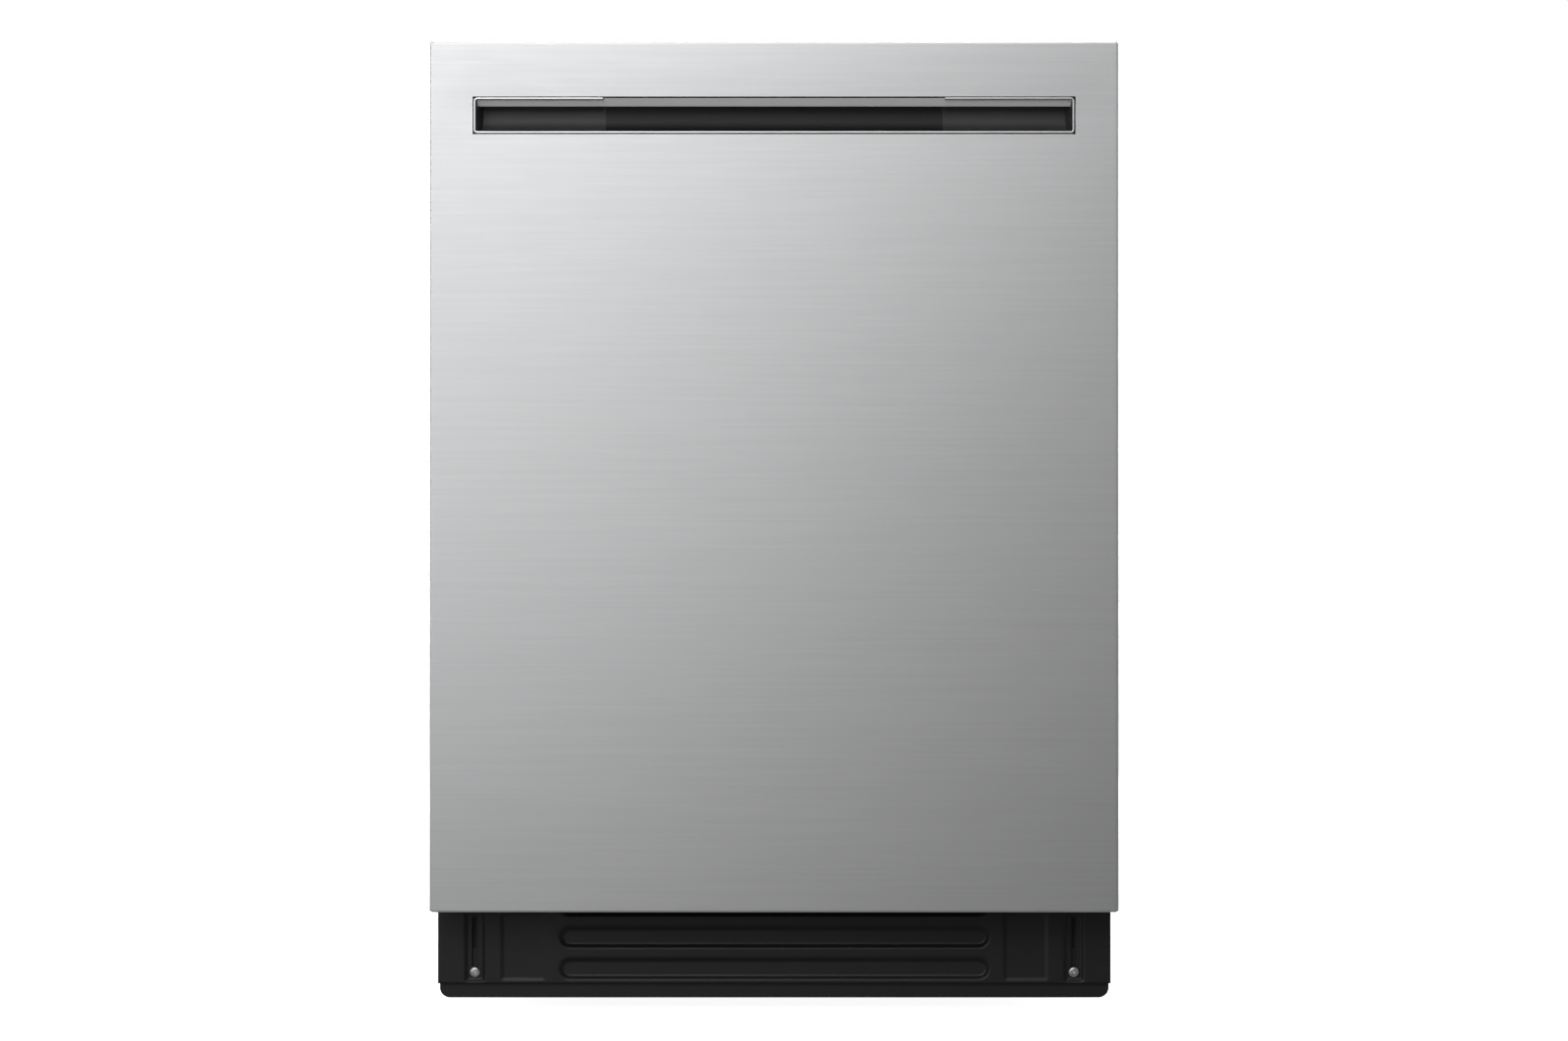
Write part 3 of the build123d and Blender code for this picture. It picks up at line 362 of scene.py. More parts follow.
def grid_sheet(
    name: str,
    us: Sequence[float],
    vs: Sequence[float],
    place: Callable[[float, float], Point],
    keep: Callable[[float, float], bool],
) -> bpy.types.Object:
    """Builds an open sheet on a grid of two lengths.

    Args:
        name: the piece's name.
        us, vs: the grid's lines, across and up, in millimetres.
        place: the point of the sheet at u and v, in millimetres.
        keep: whether the cell with its middle at u and v is there.

    Returns:
        The sheet, whose faces look the way that u turned on to v points.
    """
    bm = bmesh.new()
    grid = [[bm.verts.new(Vector(place(u, v)) * MM) for v in vs] for u in us]
    for i in range(len(us) - 1):
        for j in range(len(vs) - 1):
            if keep((us[i] + us[i + 1]) / 2, (vs[j] + vs[j + 1]) / 2):
                bm.faces.new((grid[i][j], grid[i + 1][j], grid[i + 1][j + 1], grid[i][j + 1]))
    loose = [vert for vert in bm.verts if not vert.link_faces]
    bmesh.ops.delete(bm, geom=loose, context="VERTS")
    return from_bmesh(name, bm)


def swept(
    name: str, path: Sequence[Point], section: Sequence[Pair], across: Point, closed: bool = False
) -> bpy.types.Object:
    """Sweeps a closed section along a flat path.

    Args:
        name: the piece's name.
        path: the path's points, in one plane, in millimetres.
        section: the section's points, (sideways, along across), in millimetres.
        across: the unit normal of the path's plane.
        closed: whether the path's end meets its start.

    Returns:
        The solid bar, which is capped where the path is open.
    """
    bm = bmesh.new()
    normal = Vector(across)
    points = [Vector(point) for point in path]
    count = len(points)
    rings = []
    for n, point in enumerate(points):
        before = points[n - 1] if n or closed else point
        after = points[(n + 1) % count] if n < count - 1 or closed else point
        ahead = (point - before).normalized() + (after - point).normalized()
        ahead.normalize()
        aside = ahead.cross(normal)
        turn = (point - before).normalized().dot(ahead) if point != before else 1.0
        reach = 1 / max(0.5, abs(turn)) if n or closed else 1.0
        rings.append([
            bm.verts.new((point + aside * side * reach + normal * up) * MM) for side, up in section
        ])
    last = count if closed else count - 1
    for n in range(last):
        here, there = rings[n], rings[(n + 1) % count]
        for k in range(len(section)):
            nxt = (k + 1) % len(section)
            bm.faces.new((here[k], here[nxt], there[nxt], there[k]))
    if not closed:
        bm.faces.new(rings[0])
        bm.faces.new(rings[-1])
    bmesh.ops.recalc_face_normals(bm, faces=bm.faces)
    return from_bmesh(name, bm)


def rounded_path(corners: Sequence[Pair], radius: float, steps: int = 6) -> list[Pair]:
    """Rounds the inner corners of a flat open path.

    Args:
        corners: the path's corners, its two ends included.
        radius: the radius at each inner corner.
        steps: how many pieces make each quarter turn.

    Returns:
        The path's points.
    """
    path = [corners[0]]
    for before, corner, after in zip(corners, corners[1:], corners[2:]):
        middle = Vector(corner)
        back = (Vector(before) - middle).normalized()
        on = (Vector(after) - middle).normalized()
        half = back.angle(on) / 2
        reach = radius / math.tan(half)
        centre = middle + (back + on).normalized() * radius / math.sin(half)
        start, end = middle + back * reach - centre, middle + on * reach - centre
        turn = start.angle_signed(end)
        for n in range(steps + 1):
            spin = Matrix.Rotation(-turn * n / steps, 2)
            path.append(tuple(centre + spin @ start))
    path.append(corners[-1])
    return path


def rounded_bar(wide: float, deep: float, radius: float, steps: int = 3) -> list[Pair]:
    """The outline of a bar's section with rounded corners, about its middle."""
    outline = []
    for quarter, (sx, sy) in enumerate(((1, 1), (-1, 1), (-1, -1), (1, -1))):
        for n in range(steps + 1):
            angle = math.pi / 2 * (quarter + n / steps)
            outline.append((
                sx * (wide / 2 - radius) + radius * math.cos(angle),
                sy * (deep / 2 - radius) + radius * math.sin(angle),
            ))
    return outline


def turned(
    name: str, rings: Sequence[tuple[float, float]], place: Point, axis: Point, facets: int = 32,
    socket: int = 0,
) -> bpy.types.Object:
    """Turns a profile about an axis, as on a lathe.

    Args:
        name: the piece's name.
        rings: (radius, height along the axis) from one end to the other; a
            radius of 0 closes the end in a point.
        place: where height 0 is, in millimetres.
        axis: the unit axis.
        facets: how many flats go round.
        socket: how many of the last rings are drawn as a hexagon.

    Returns:
        The turned piece.
    """
    bm = bmesh.new()
    turn = Vector((0, 0, 1)).rotation_difference(Vector(axis)).to_matrix()
    loops = []
    for index, (radius, height) in enumerate(rings):
        if radius == 0:
            tip = bm.verts.new((turn @ Vector((0, 0, height)) + Vector(place)) * MM)
            loops.append([tip])
            continue
        loop = []
        for n in range(facets):
            angle = 2 * math.pi * n / facets
            reach = radius
            if index >= len(rings) - socket:
                part = (angle + math.pi / 6) % (math.pi / 3) - math.pi / 6
                reach = radius / math.cos(part)
            spot = Vector((reach * math.cos(angle), reach * math.sin(angle), height))
            loop.append(bm.verts.new((turn @ spot + Vector(place)) * MM))
        loops.append(loop)
    for low, high in zip(loops, loops[1:]):
        for n in range(facets):
            nxt = (n + 1) % facets
            corners = [low[n % len(low)], low[nxt % len(low)], high[nxt % len(high)], high[n % len(high)]]
            bm.faces.new(list(dict.fromkeys(corners)))
    if rings[0] == rings[-1]:
        bmesh.ops.remove_doubles(bm, verts=bm.verts, dist=1e-7)
    else:
        for loop in (loops[0], loops[-1]):
            if len(loop) > 1:
                bm.faces.new(loop)
    bmesh.ops.recalc_face_normals(bm, faces=bm.faces)
    return from_bmesh(name, bm)


def slab(name: str, x: Pair, y: Pair, z: Pair, round_by: float, segments: int = 3) -> bpy.types.Object:
    """A rounded block between pairs of x, y and z, in millimetres."""
    bm = bmesh.new()
    bmesh.ops.create_cube(bm, size=1.0)
    size = Vector((x[1] - x[0], y[1] - y[0], z[1] - z[0])) * MM
    middle = Vector((sum(x), sum(y), sum(z))) / 2 * MM
    bmesh.ops.scale(bm, vec=size, verts=bm.verts)
    bmesh.ops.translate(bm, vec=middle, verts=bm.verts)
    bmesh.ops.bevel(
        bm, geom=bm.edges[:], offset=round_by * MM, segments=segments, profile=0.5, affect="EDGES"
    )
    return from_bmesh(name, bm)


def lofted(name: str, loops: Sequence[Sequence[Point]]) -> bpy.types.Object:
    """Skins closed loops of points one after another, and caps both ends."""
    bm = bmesh.new()
    rings = [[bm.verts.new(Vector(point) * MM) for point in loop] for loop in loops]
    for low, high in zip(rings, rings[1:]):
        for n in range(len(low)):
            nxt = (n + 1) % len(low)
            bm.faces.new((low[n], low[nxt], high[nxt], high[n]))
    bm.faces.new(rings[0])
    bm.faces.new(rings[-1])
    bmesh.ops.recalc_face_normals(bm, faces=bm.faces)
    return from_bmesh(name, bm)


def spaced(low: float, high: float, count: int) -> list[float]:
    """Evenly spaced places from low to high, both included."""
    return [low + (high - low) * n / (count - 1) for n in range(count)]


def fold(length: float, flat: float, radius: float) -> Pair:
    """Where a point of a sheet lies once the sheet is folded back at its edge.

    Args:
        length: the point's distance along the flat sheet from its middle.
        flat: the distance at which the bend starts.
        radius: the bend's outer radius.

    Returns:
        The distance across, and how far back the point lies.
    """
    beyond = abs(length) - flat
    if beyond <= 0:
        return length, 0.0
    side = math.copysign(1.0, length)
    angle = min(beyond / radius, math.pi / 2)
    rest = max(0.0, beyond - radius * math.pi / 2)
    return side * (flat + radius * math.sin(angle)), radius * (1 - math.cos(angle)) + rest


def bend_lines(flat: float, radius: float, depth: float, steps: int = 6) -> list[float]:
    """Grid lines of a folded edge, from just inside the bend to the flange's end."""
    quarter = radius * math.pi / 2
    lines = [flat - 1.0] + [flat + quarter * n / steps for n in range(steps + 1)]
    return lines + [flat + quarter + depth - radius]


# ------------------------------------------------------- geometry node trees
class Tree:
    """A Geometry Nodes tree with named inputs, which works on a mesh."""

    def __init__(self, name: str) -> None:
        """Starts the tree with its geometry input and output."""
        self.group = bpy.data.node_groups.new(name, "GeometryNodeTree")
        for way in ("INPUT", "OUTPUT"):
            self.group.interface.new_socket("Geometry", in_out=way, socket_type="NodeSocketGeometry")
        self.entry = self.group.nodes.new("NodeGroupInput")

    @property
    def given(self) -> bpy.types.NodeSocket:
        """The mesh that the tree works on."""
        return self.entry.outputs["Geometry"]

    def size(self, label: str, kind: str) -> bpy.types.NodeSocket:
        """Adds a named input of the kind Float, Int, Vector, Rotation or Material."""
        self.group.interface.new_socket(label, in_out="INPUT", socket_type=f"NodeSocket{kind}")
        return self.entry.outputs[label]

    def node(self, kind: str, settings: dict[str, str] | None = None, **inputs: object) -> bpy.types.Node:
        """Adds a node.

        Args:
            kind: the node's type, without its GeometryNode prefix unless it
                is a function or shader node.
            settings: the node's own properties.
            inputs: its inputs by name, with _ for a space: a socket to link
                or a value.

        Returns:
            The node.
        """
        full = kind if kind.startswith(("Function", "Shader")) else f"GeometryNode{kind}"
        made = self.group.nodes.new(full)
        for key, value in (settings or {}).items():
            setattr(made, key, value)
        for key, value in inputs.items():
            socket = made.inputs[key.replace("_", " ")]
            if isinstance(value, bpy.types.NodeSocket):
                self.group.links.new(value, socket)
            else:
                socket.default_value = value
        return made

    def close(self, geometry: bpy.types.NodeSocket) -> Tree:
        """Ends the tree with real geometry in the material that is asked for."""
        real = self.node("RealizeInstances", Geometry=geometry)
        painted = self.node(
            "SetMaterial", Geometry=real.outputs["Geometry"], Material=self.size("Material", "Material")
        )
        ending = self.group.nodes.new("NodeGroupOutput")
        self.group.links.new(painted.outputs["Geometry"], ending.inputs["Geometry"])
        return self

    def grow(self, piece: bpy.types.Object, finish: Finish, **values: object) -> bpy.types.Object:
        """Runs the tree on a piece's mesh, and leaves the result as a plain mesh.

        Args:
            piece: the object whose mesh goes in, and whose mesh is replaced.
            finish: the finish of what comes out.
            values: the tree's inputs by name.

        Returns:
            The same piece.
        """
        modifier = piece.modifiers.new("grow", "NODES")
        modifier.node_group = self.group
        values["Material"] = finish.material()
        for item in self.group.interface.items_tree:
            if item.item_type == "SOCKET" and item.in_out == "INPUT" and item.name in values:
                modifier[item.identifier] = values[item.name]
        graph = bpy.context.evaluated_depsgraph_get()
        graph.update()
        mesh = bpy.data.meshes.new_from_object(piece.evaluated_get(graph))
        piece.modifiers.clear()
        before = piece.data
        piece.data = mesh
        bpy.data.meshes.remove(before)
        mesh.polygons.foreach_set("use_smooth", [True] * len(mesh.polygons))
        mesh.set_sharp_from_angle(angle=math.radians(40))
        return piece


@cache
def wire_tree() -> Tree:
    """Lines become round wire, bent at their corners and rounded at their ends."""
    tree = Tree("bent_wire")
    radius, bend = tree.size("Radius", "Float"), tree.size("Bend", "Float")
    line = tree.node("MeshToCurve", Mesh=tree.given)
    bent = tree.node(
        "FilletCurve", {"mode": "POLY"}, Curve=line.outputs["Curve"], Count=5, Radius=bend, Limit_Radius=True
    )
    section = tree.node("CurvePrimitiveCircle", {"mode": "RADIUS"}, Resolution=10, Radius=radius)
    rod = tree.node(
        "CurveToMesh",
        Curve=bent.outputs["Curve"],
        Profile_Curve=section.outputs["Curve"],
        Fill_Caps=True,
    )
    ends = tree.node("CurveEndpointSelection", Start_Size=1, End_Size=1)
    ball = tree.node("MeshUVSphere", Segments=10, Rings=6, Radius=radius)
    tips = tree.node(
        "InstanceOnPoints",
        Points=bent.outputs["Curve"],
        Selection=ends.outputs["Selection"],
        Instance=ball.outputs["Mesh"],
    )
    both = tree.node("JoinGeometry")
    for part in (tips.outputs["Instances"], rod.outputs["Mesh"]):
        tree.group.links.new(part, both.inputs["Geometry"])
    return tree.close(both.outputs["Geometry"])


@cache
def row_tree() -> Tree:
    """A piece is repeated along a straight line."""
    tree = Tree("row_of_pieces")
    line = tree.node(
        "MeshLine",
        {"mode": "OFFSET"},
        Count=tree.size("Count", "Int"),
        Start_Location=tree.size("Start", "Vector"),
        Offset=tree.size("Step", "Vector"),
    )
    copies = tree.node("InstanceOnPoints", Points=line.outputs["Mesh"], Instance=tree.given)
    return tree.close(copies.outputs["Instances"])


@cache
def ring_tree() -> Tree:
    """A piece is repeated round the Z axis, and the ring is put in its place."""
    tree = Tree("ring_of_pieces")
    count = tree.size("Count", "Int")
    points = tree.node("MeshLine", {"mode": "OFFSET"}, Count=count, Offset=(0.0, 0.0, 0.0))
    index = tree.node("InputIndex")
    share = tree.node("ShaderNodeMath", {"operation": "DIVIDE"})
    tree.group.links.new(index.outputs["Index"], share.inputs[0])
    tree.group.links.new(count, share.inputs[1])
    angle = tree.node("ShaderNodeMath", {"operation": "MULTIPLY"})
    tree.group.links.new(share.outputs[0], angle.inputs[0])
    angle.inputs[1].default_value = 2 * math.pi
    spin = tree.node("ShaderNodeCombineXYZ", Z=angle.outputs[0])
    copies = tree.node(
        "InstanceOnPoints",
        Points=points.outputs["Mesh"],
        Instance=tree.given,
        Rotation=spin.outputs["Vector"],
    )
    moved = tree.node(
        "Transform",
        Geometry=copies.outputs["Instances"],
        Translation=tree.size("Place", "Vector"),
        Rotation=tree.size("Turn", "Rotation"),
    )
    return tree.close(moved.outputs["Geometry"])


@cache
def coil_tree() -> Tree:
    """A coil of round wire along Z from the origin, put in its place."""
    tree = Tree("coil_spring")
    helix = tree.node(
        "CurveSpiral",
        Resolution=14,
        Rotations=tree.size("Turns", "Float"),
        Start_Radius=tree.size("Coil_Radius", "Float"),
        End_Radius=tree.entry.outputs["Coil_Radius"],
        Height=tree.size("Length", "Float"),
    )
    section = tree.node(
        "CurvePrimitiveCircle", {"mode": "RADIUS"}, Resolution=8, Radius=tree.size("Radius", "Float")
    )
    rod = tree.node(
        "CurveToMesh",
        Curve=helix.outputs["Curve"],
        Profile_Curve=section.outputs["Curve"],
        Fill_Caps=True,
    )
    moved = tree.node(
        "Transform",
        Geometry=rod.outputs["Mesh"],
        Translation=tree.size("Place", "Vector"),
        Rotation=tree.size("Turn", "Rotation"),
    )
    return tree.close(moved.outputs["Geometry"])


def lines_object(name: str, lines: Iterable[Line]) -> bpy.types.Object:
    """Makes an object of bare lines, each a list of points and whether it closes."""
    verts: list[Vector] = []
    edges: list[tuple[int, int]] = []
    for points, closed in lines:
        first = len(verts)
        verts += [Vector(point) * MM for point in points]
        edges += [(first + n, first + n + 1) for n in range(len(points) - 1)]
        if closed:
            edges.append((len(verts) - 1, first))
    mesh = bpy.data.meshes.new(name)
    mesh.from_pydata(verts, edges, [])
    return link(name, mesh)


def wires(
    name: str, lines: Iterable[Line], radius: float, bend: float, finish: Finish
) -> bpy.types.Object:
    """Bends a set of wires along lines, with sizes in millimetres."""
    piece = lines_object(name, lines)
    return wire_tree().grow(piece, finish, Radius=radius * MM, Bend=bend * MM)


def row(
    piece: bpy.types.Object, finish: Finish, count: int, start: Point, step: Point
) -> bpy.types.Object:
    """Repeats a piece made at the origin along a line, in millimetres."""
    first, pitch = (tuple(n * MM for n in point) for point in (start, step))
    return row_tree().grow(piece, finish, Count=count, Start=first, Step=pitch)


# ---------------------------------------------------------------- door's front
@dataclass
class DoorFront:
    """The folded steel skin, the sunk pocket and the trim round it."""

    half: float = 301.5
    front: float = -312.5
    bottom: float = 91.0
    top: float = 852.0
    bend: float = 2.0
    side_depth: float = 22.5
    top_depth: float = 8.5
    bottom_depth: float = 12.0
    sheet: float = 1.0
    pocket_half: float = 263.0
    pocket_low: float = 771.3
    pocket_high: float = 803.4
    gap: float = 0.45
    trim: float = 2.4
    trim_depth: float = 5.5
    trim_corner: float = 3.6
    grip_half: float = 148.0
    grip_top: float = 817.5
    back: float = -287.0
    wall: float = 1.6
    lip_reach: float = 9.0
    end_slope: float = 4.6

    def skin(self) -> None:
        """The front sheet, folded back at its sides, its top and its bottom."""
        flat, flat_top = self.half - self.bend, self.top - self.bend
        sides = bend_lines(flat, self.bend, self.side_depth)
        low_bend = 1.0
        us = [-u for u in reversed(sides)] + [-self.pocket_half - self.gap, 0.0]
        us += [self.pocket_half + self.gap] + sides
        middle = (self.bottom + self.top) / 2
        reach = flat_top - middle
        low_reach = middle - self.bottom - low_bend
        downs = [-v for v in reversed(bend_lines(low_reach, low_bend, self.bottom_depth, 3))]
        pocket = [self.pocket_low - self.gap - middle, self.pocket_high + self.gap - middle]
        vs = downs + [0.0] + pocket + bend_lines(reach, self.bend, self.top_depth)

        def place(u: float, v: float) -> Point:
            """The outer face at u across and v up from the middle."""
            x, back = fold(u, flat, self.bend)
            z, over = fold(v, reach, self.bend) if v > 0 else fold(v, low_reach, low_bend)
            return x, self.front + max(back, over), middle + z

        def keep(u: float, v: float) -> bool:
            """Leaves out the pocket and the reliefs where two folds would meet."""
            in_pocket = abs(u) < self.pocket_half + self.gap and pocket[0] < v < pocket[1]
            folded_side = abs(u) > flat
            folded_end = v > reach or v < -low_reach
            return not in_pocket and not (folded_side and folded_end)

        piece = settle(thicken(grid_sheet("front_panel", us, vs, place, keep), self.sheet))
        dress(piece, FRONT_STEEL, "door", "door_skin")

    def trim_ring(self) -> None:
        """The bright bar round the pocket, left open along the grip."""
        inset = self.trim / 2
        x, low, high = self.pocket_half - inset, self.pocket_low + inset, self.pocket_high - inset
        grip = self.grip_half + 1
        ends = [(grip, high), (x, high), (x, low), (-x, low), (-x, high), (-grip, high)]
        flat = rounded_path(ends, self.trim_corner - inset)
        middle = self.front + self.trim_depth / 2
        path = [(px, middle, pz) for px, pz in flat]
        section = rounded_bar(self.trim, self.trim_depth, 0.8)
        piece = settle(ease(swept("pocket_trim", path, section, (0, 1, 0)), 0.7, 3), 40)
        dress(piece, TRIM, "door", "pocket_bezel")

    def profile(self, grip: float) -> list[Pair]:
        """The tray's section from its top front edge round to its bottom one.

        Args:
            grip: 0 at the tray's ends, 1 where the grip opens behind the lip.

        Returns:
            The same number of (y, z) points for either, in millimetres.
        """
        face = self.front + 2.2
        top, low = self.pocket_high - 0.6, self.pocket_low + self.trim
        lip = [(face, top), (face + 1.2, top - 1.6), (face + 2.7, top - 3.6), (face + 4.2, top - 5.6)]
        nose = [(face + 5.3, top - 6.9), (face + 6.4, top - 7.1), (face + 7.4, top - 6.5)]
        closed = [(self.back - 9, top - 5.9), (self.back - 6, top - 5.6), (self.back - 3.5, top - 6.4)]
        closed += [(self.back - 1.4, top - 8.2), (self.back, top - 10.5)]
        open_up = [(face + 7.8, top - 4), (face + 7.8, self.grip_top - 3), (face + 10, self.grip_top)]
        open_up += [(self.back - 3, self.grip_top), (self.back, self.grip_top - 3)]
        cavity = [
            tuple(a + (b - a) * grip for a, b in zip(shut, wide)) for shut, wide in zip(closed, open_up)
        ]
        radius = 12.0
        bowl = [
            (self.back - radius + radius * math.cos(a), low + radius - radius * math.sin(a))
            for a in (math.pi / 2 * n / 8 for n in range(9))
        ]
        return lip + nose + cavity + bowl + [(face, low)]

    def tray(self) -> None:
        """The moulded pocket with its deep grip and sloped ends, a pale painted highlight on its lip and
        painted shade that keeps the centre darker than the ends.
        """
        end = self.pocket_half - self.trim - 0.2
        stations = [-end, -self.grip_half - 2.4, -self.grip_half, self.grip_half, self.grip_half + 2.4, end]
        grips = [0.0, 0.0, 1.0, 1.0, 0.0, 0.0]
        bm = bmesh.new()
        rings = []
        for x, grip in zip(stations, grips):
            ring = []
            for y, z in self.profile(grip):
                deep = (y - self.front - 2.2) / (self.back - self.front - 2.2)
                lean = self.end_slope * max(0.0, deep) if abs(x) == end else 0.0
                ring.append(bm.verts.new(Vector((x - math.copysign(lean, x), y, z)) * MM))
            rings.append(ring)
        for one, two in zip(rings, rings[1:]):
            for k in range(len(one) - 1):
                bm.faces.new((one[k], one[k + 1], two[k + 1], two[k]))
        bm.faces.new(rings[0])
        bm.faces.new(rings[-1])
        bmesh.ops.recalc_face_normals(bm, faces=bm.faces)
        wall = Vector((0, self.back, (self.pocket_low + self.pocket_high) / 2)) * MM
        middle = min(bm.faces, key=lambda face: (face.calc_center_median() - wall).length)
        if middle.normal.y > 0:
            bmesh.ops.reverse_faces(bm, faces=bm.faces)
        piece = from_bmesh("pocket_tray", bm)
        piece = settle(ease(thicken(piece, self.wall), 0.5), 38)
        dress(piece, POCKET, "door", "handle_pocket")
        # Two more copies of the pocket's grey: a pale one as painted light on the lip, and a lighter one on
        # the ends beside the painted shade of the grip.
        piece.data.materials.append(POCKET_LIP_PAINTED_LIGHT.material())
        piece.data.materials.append(POCKET_END_PAINTED_LIGHTER.material())
        for face in piece.data.polygons:
            y, z = face.center.y / MM, face.center.z / MM
            # Faces beyond the grip get the lighter copy, and the centre keeps the darker grey as painted
            # shade of the deep grip.
            if abs(face.center.x) > self.grip_half * MM:
                face.material_index = 2
            # Faces near the top front edge that face down get the pale copy: a painted highlight on the lip.
            facing_down = face.normal.z < -0.35 and face.normal.y < 0.2
            near_edge = y < self.front + self.lip_reach and z > self.pocket_high - self.lip_reach
            if facing_down and near_edge and abs(face.center.x) < end * MM:
                face.material_index = 1

    def build(self) -> None:
        """Makes the three pieces of the door's face."""
        self.skin()
        self.trim_ring()
        self.tray()


# ------------------------------------------------------------------- toe kick
@dataclass
class ToeKick:
    """The pressed black panel, the plate that slides behind it and the screws."""

    half: float = 298.5
    front: float = -252.5
    low: float = 23.0
    high: float = 96.0
    sheet: float = 1.0
    bend: float = 1.5
    return_depth: float = 20.0
    rib_half: float = 191.0
    rib_height: float = 19.4
    rib_depth: float = 3.0
    rib_slope: float = 3.4
    ribs: tuple[float, ...] = (36.0, 64.0, 92.0)
    screw_x: float = 265.5
    screw_z: float = 33.0
    slot_half: float = 1.5
    slot_top: float = 82.0
    channel_half: float = 8.6
    channel_depth: float = 2.0
    pad_x: float = 223.0
    pad_half: Pair = (19.0, 30.0)
    pad_depth: float = 0.7
    step: float = 1.3

    def relief(self, x: float, z: float) -> float:
        """How far the panel is pressed back at a place, in millimetres."""
        depth = 0.0
        for middle in self.ribs:
            end = max(0.0, abs(x) - self.rib_half + self.rib_height / 2)
            inside = self.rib_height / 2 - math.hypot(end, z - middle)
            share = min(1.0, max(0.0, inside / self.rib_slope))
            depth = max(depth, self.rib_depth * share * share * (3 - 2 * share))
        across = self.channel_half - abs(abs(x) - self.screw_x)
        along = z - self.low - 1.5
        share = min(1.0, max(0.0, min(across, along) / 1.6))
        depth = max(depth, self.channel_depth * share)
        wide = self.pad_half[0] - abs(abs(x) - self.pad_x)
        tall = self.pad_half[1] - abs(z - 56)
        share = min(1.0, max(0.0, min(wide, tall) / 1.2))
        return max(depth, self.pad_depth * share)

    def panel(self) -> None:
        """The panel with its ribs, pads, channels and slots."""
        flat = self.half - self.bend
        columns = round(2 * (flat - 1) / self.step)
        edges = bend_lines(flat, self.bend, self.return_depth, 4)
        us = [-u for u in reversed(edges)] + spaced(-flat + 1, flat - 1, columns + 1)[1:-1] + edges
        vs = spaced(self.low, self.high, round((self.high - self.low) / self.step) + 1)
        centre = Vector((self.screw_x, 0))

        def slot_gap(u: float, v: float) -> Vector:
            """From the nearest point of the slot's middle line to a place."""
            along = min(max(v, self.screw_z), self.slot_top - self.slot_half)
            return Vector((abs(u) - centre.x, v - along))

        def place(u: float, v: float) -> Point:
            """The outer face, drawn in to the slot's exact edge beside it."""
            gap = slot_gap(u, v)
            if 0.01 < gap.length and abs(gap.length - self.slot_half) < self.step * 0.62:
                shift = gap.normalized() * (self.slot_half - gap.length)
                u, v = u + math.copysign(shift.x, u), v + shift.y
            x, back = fold(u, flat, self.bend)
            return x, self.front + max(back, self.relief(x, v)), v

        def keep(u: float, v: float) -> bool:
            """Leaves out the two slots."""
            return slot_gap(u, v).length > self.slot_half

        piece = settle(thicken(grid_sheet("kick_panel", us, vs, place, keep), self.sheet), 50)
        dress(piece, KICK_BLACK, "cabinet", "toe_kick_panel")

    def screws(self) -> None:
        """Two zinc pan heads with a hexagon recess, on the sliding plate."""
        rings = [
            (2.0, -6.6), (2.0, -1.4), (4.5, -1.4), (4.6, -1.0), (4.6, 0.1), (4.35, 0.9), (3.6, 1.35),
            (2.7, 1.45), (2.1, 1.4), (1.9, 1.1), (1.8, -0.2), (0.0, -0.4),
        ]
        heads = []
        for side in (-1, 1):
            spot = (side * self.screw_x, self.front + 0.3, self.screw_z)
            heads.append(settle(turned(f"kick_screw_{side}", rings, spot, (0, -1, 0), 36, 2), 30))
        dress(joined("kick_screws", heads), SCREW_ZINC, "toe_skirt", "toe_kick_screws")

    def build(self) -> None:
        """Makes the panel, the plate behind it and the screws."""
        self.panel()
        finish_node("toe_kick_skirt", 0.3)
        self.screws()


# ------------------------------------------------------------------- soft felt
def puffed(piece: bpy.types.Object, pinned: Callable[[Vector], bool], cap: float) -> bpy.types.Object:
    """Swells a closed soft piece between its pinned seams.

    Args:
        piece: the closed mesh at the origin.
        pinned: whether a point, in millimetres, is held by a seam or an edge.
        cap: how far a point may move, in millimetres.

    Returns:
        The same piece with the settled mesh.
    """
    before = [vert.co.copy() for vert in piece.data.vertices]
    held = piece.vertex_groups.new(name="seams")
    held.add([n for n, spot in enumerate(before) if pinned(spot / MM)], 1.0, "REPLACE")
    cloth = piece.modifiers.new("felt", "CLOTH")
    settings = cloth.settings
    settings.quality = 5
    settings.mass = 0.4
    settings.tension_stiffness = 20
    settings.compression_stiffness = 12
    settings.bending_stiffness = 3
    settings.use_pressure = True
    settings.uniform_pressure_force = 4
    settings.effector_weights.gravity = 0
    settings.vertex_group_mass = held.name
    cloth.collision_settings.use_collision = False
    cloth.collision_settings.use_self_collision = False
    cloth.point_cache.frame_start, cloth.point_cache.frame_end = 1, 20
    scene = bpy.context.scene
    for step in range(1, 21):
        scene.frame_set(step)
    graph = bpy.context.evaluated_depsgraph_get()
    mesh = bpy.data.meshes.new_from_object(piece.evaluated_get(graph))
    piece.modifiers.clear()
    piece.vertex_groups.clear()
    for vert, start in zip(mesh.vertices, before):
        shift = vert.co - start
        if shift.length > cap * MM:
            vert.co = start + shift.normalized() * cap * MM
    piece.data = mesh
    scene.frame_set(1)
    return piece


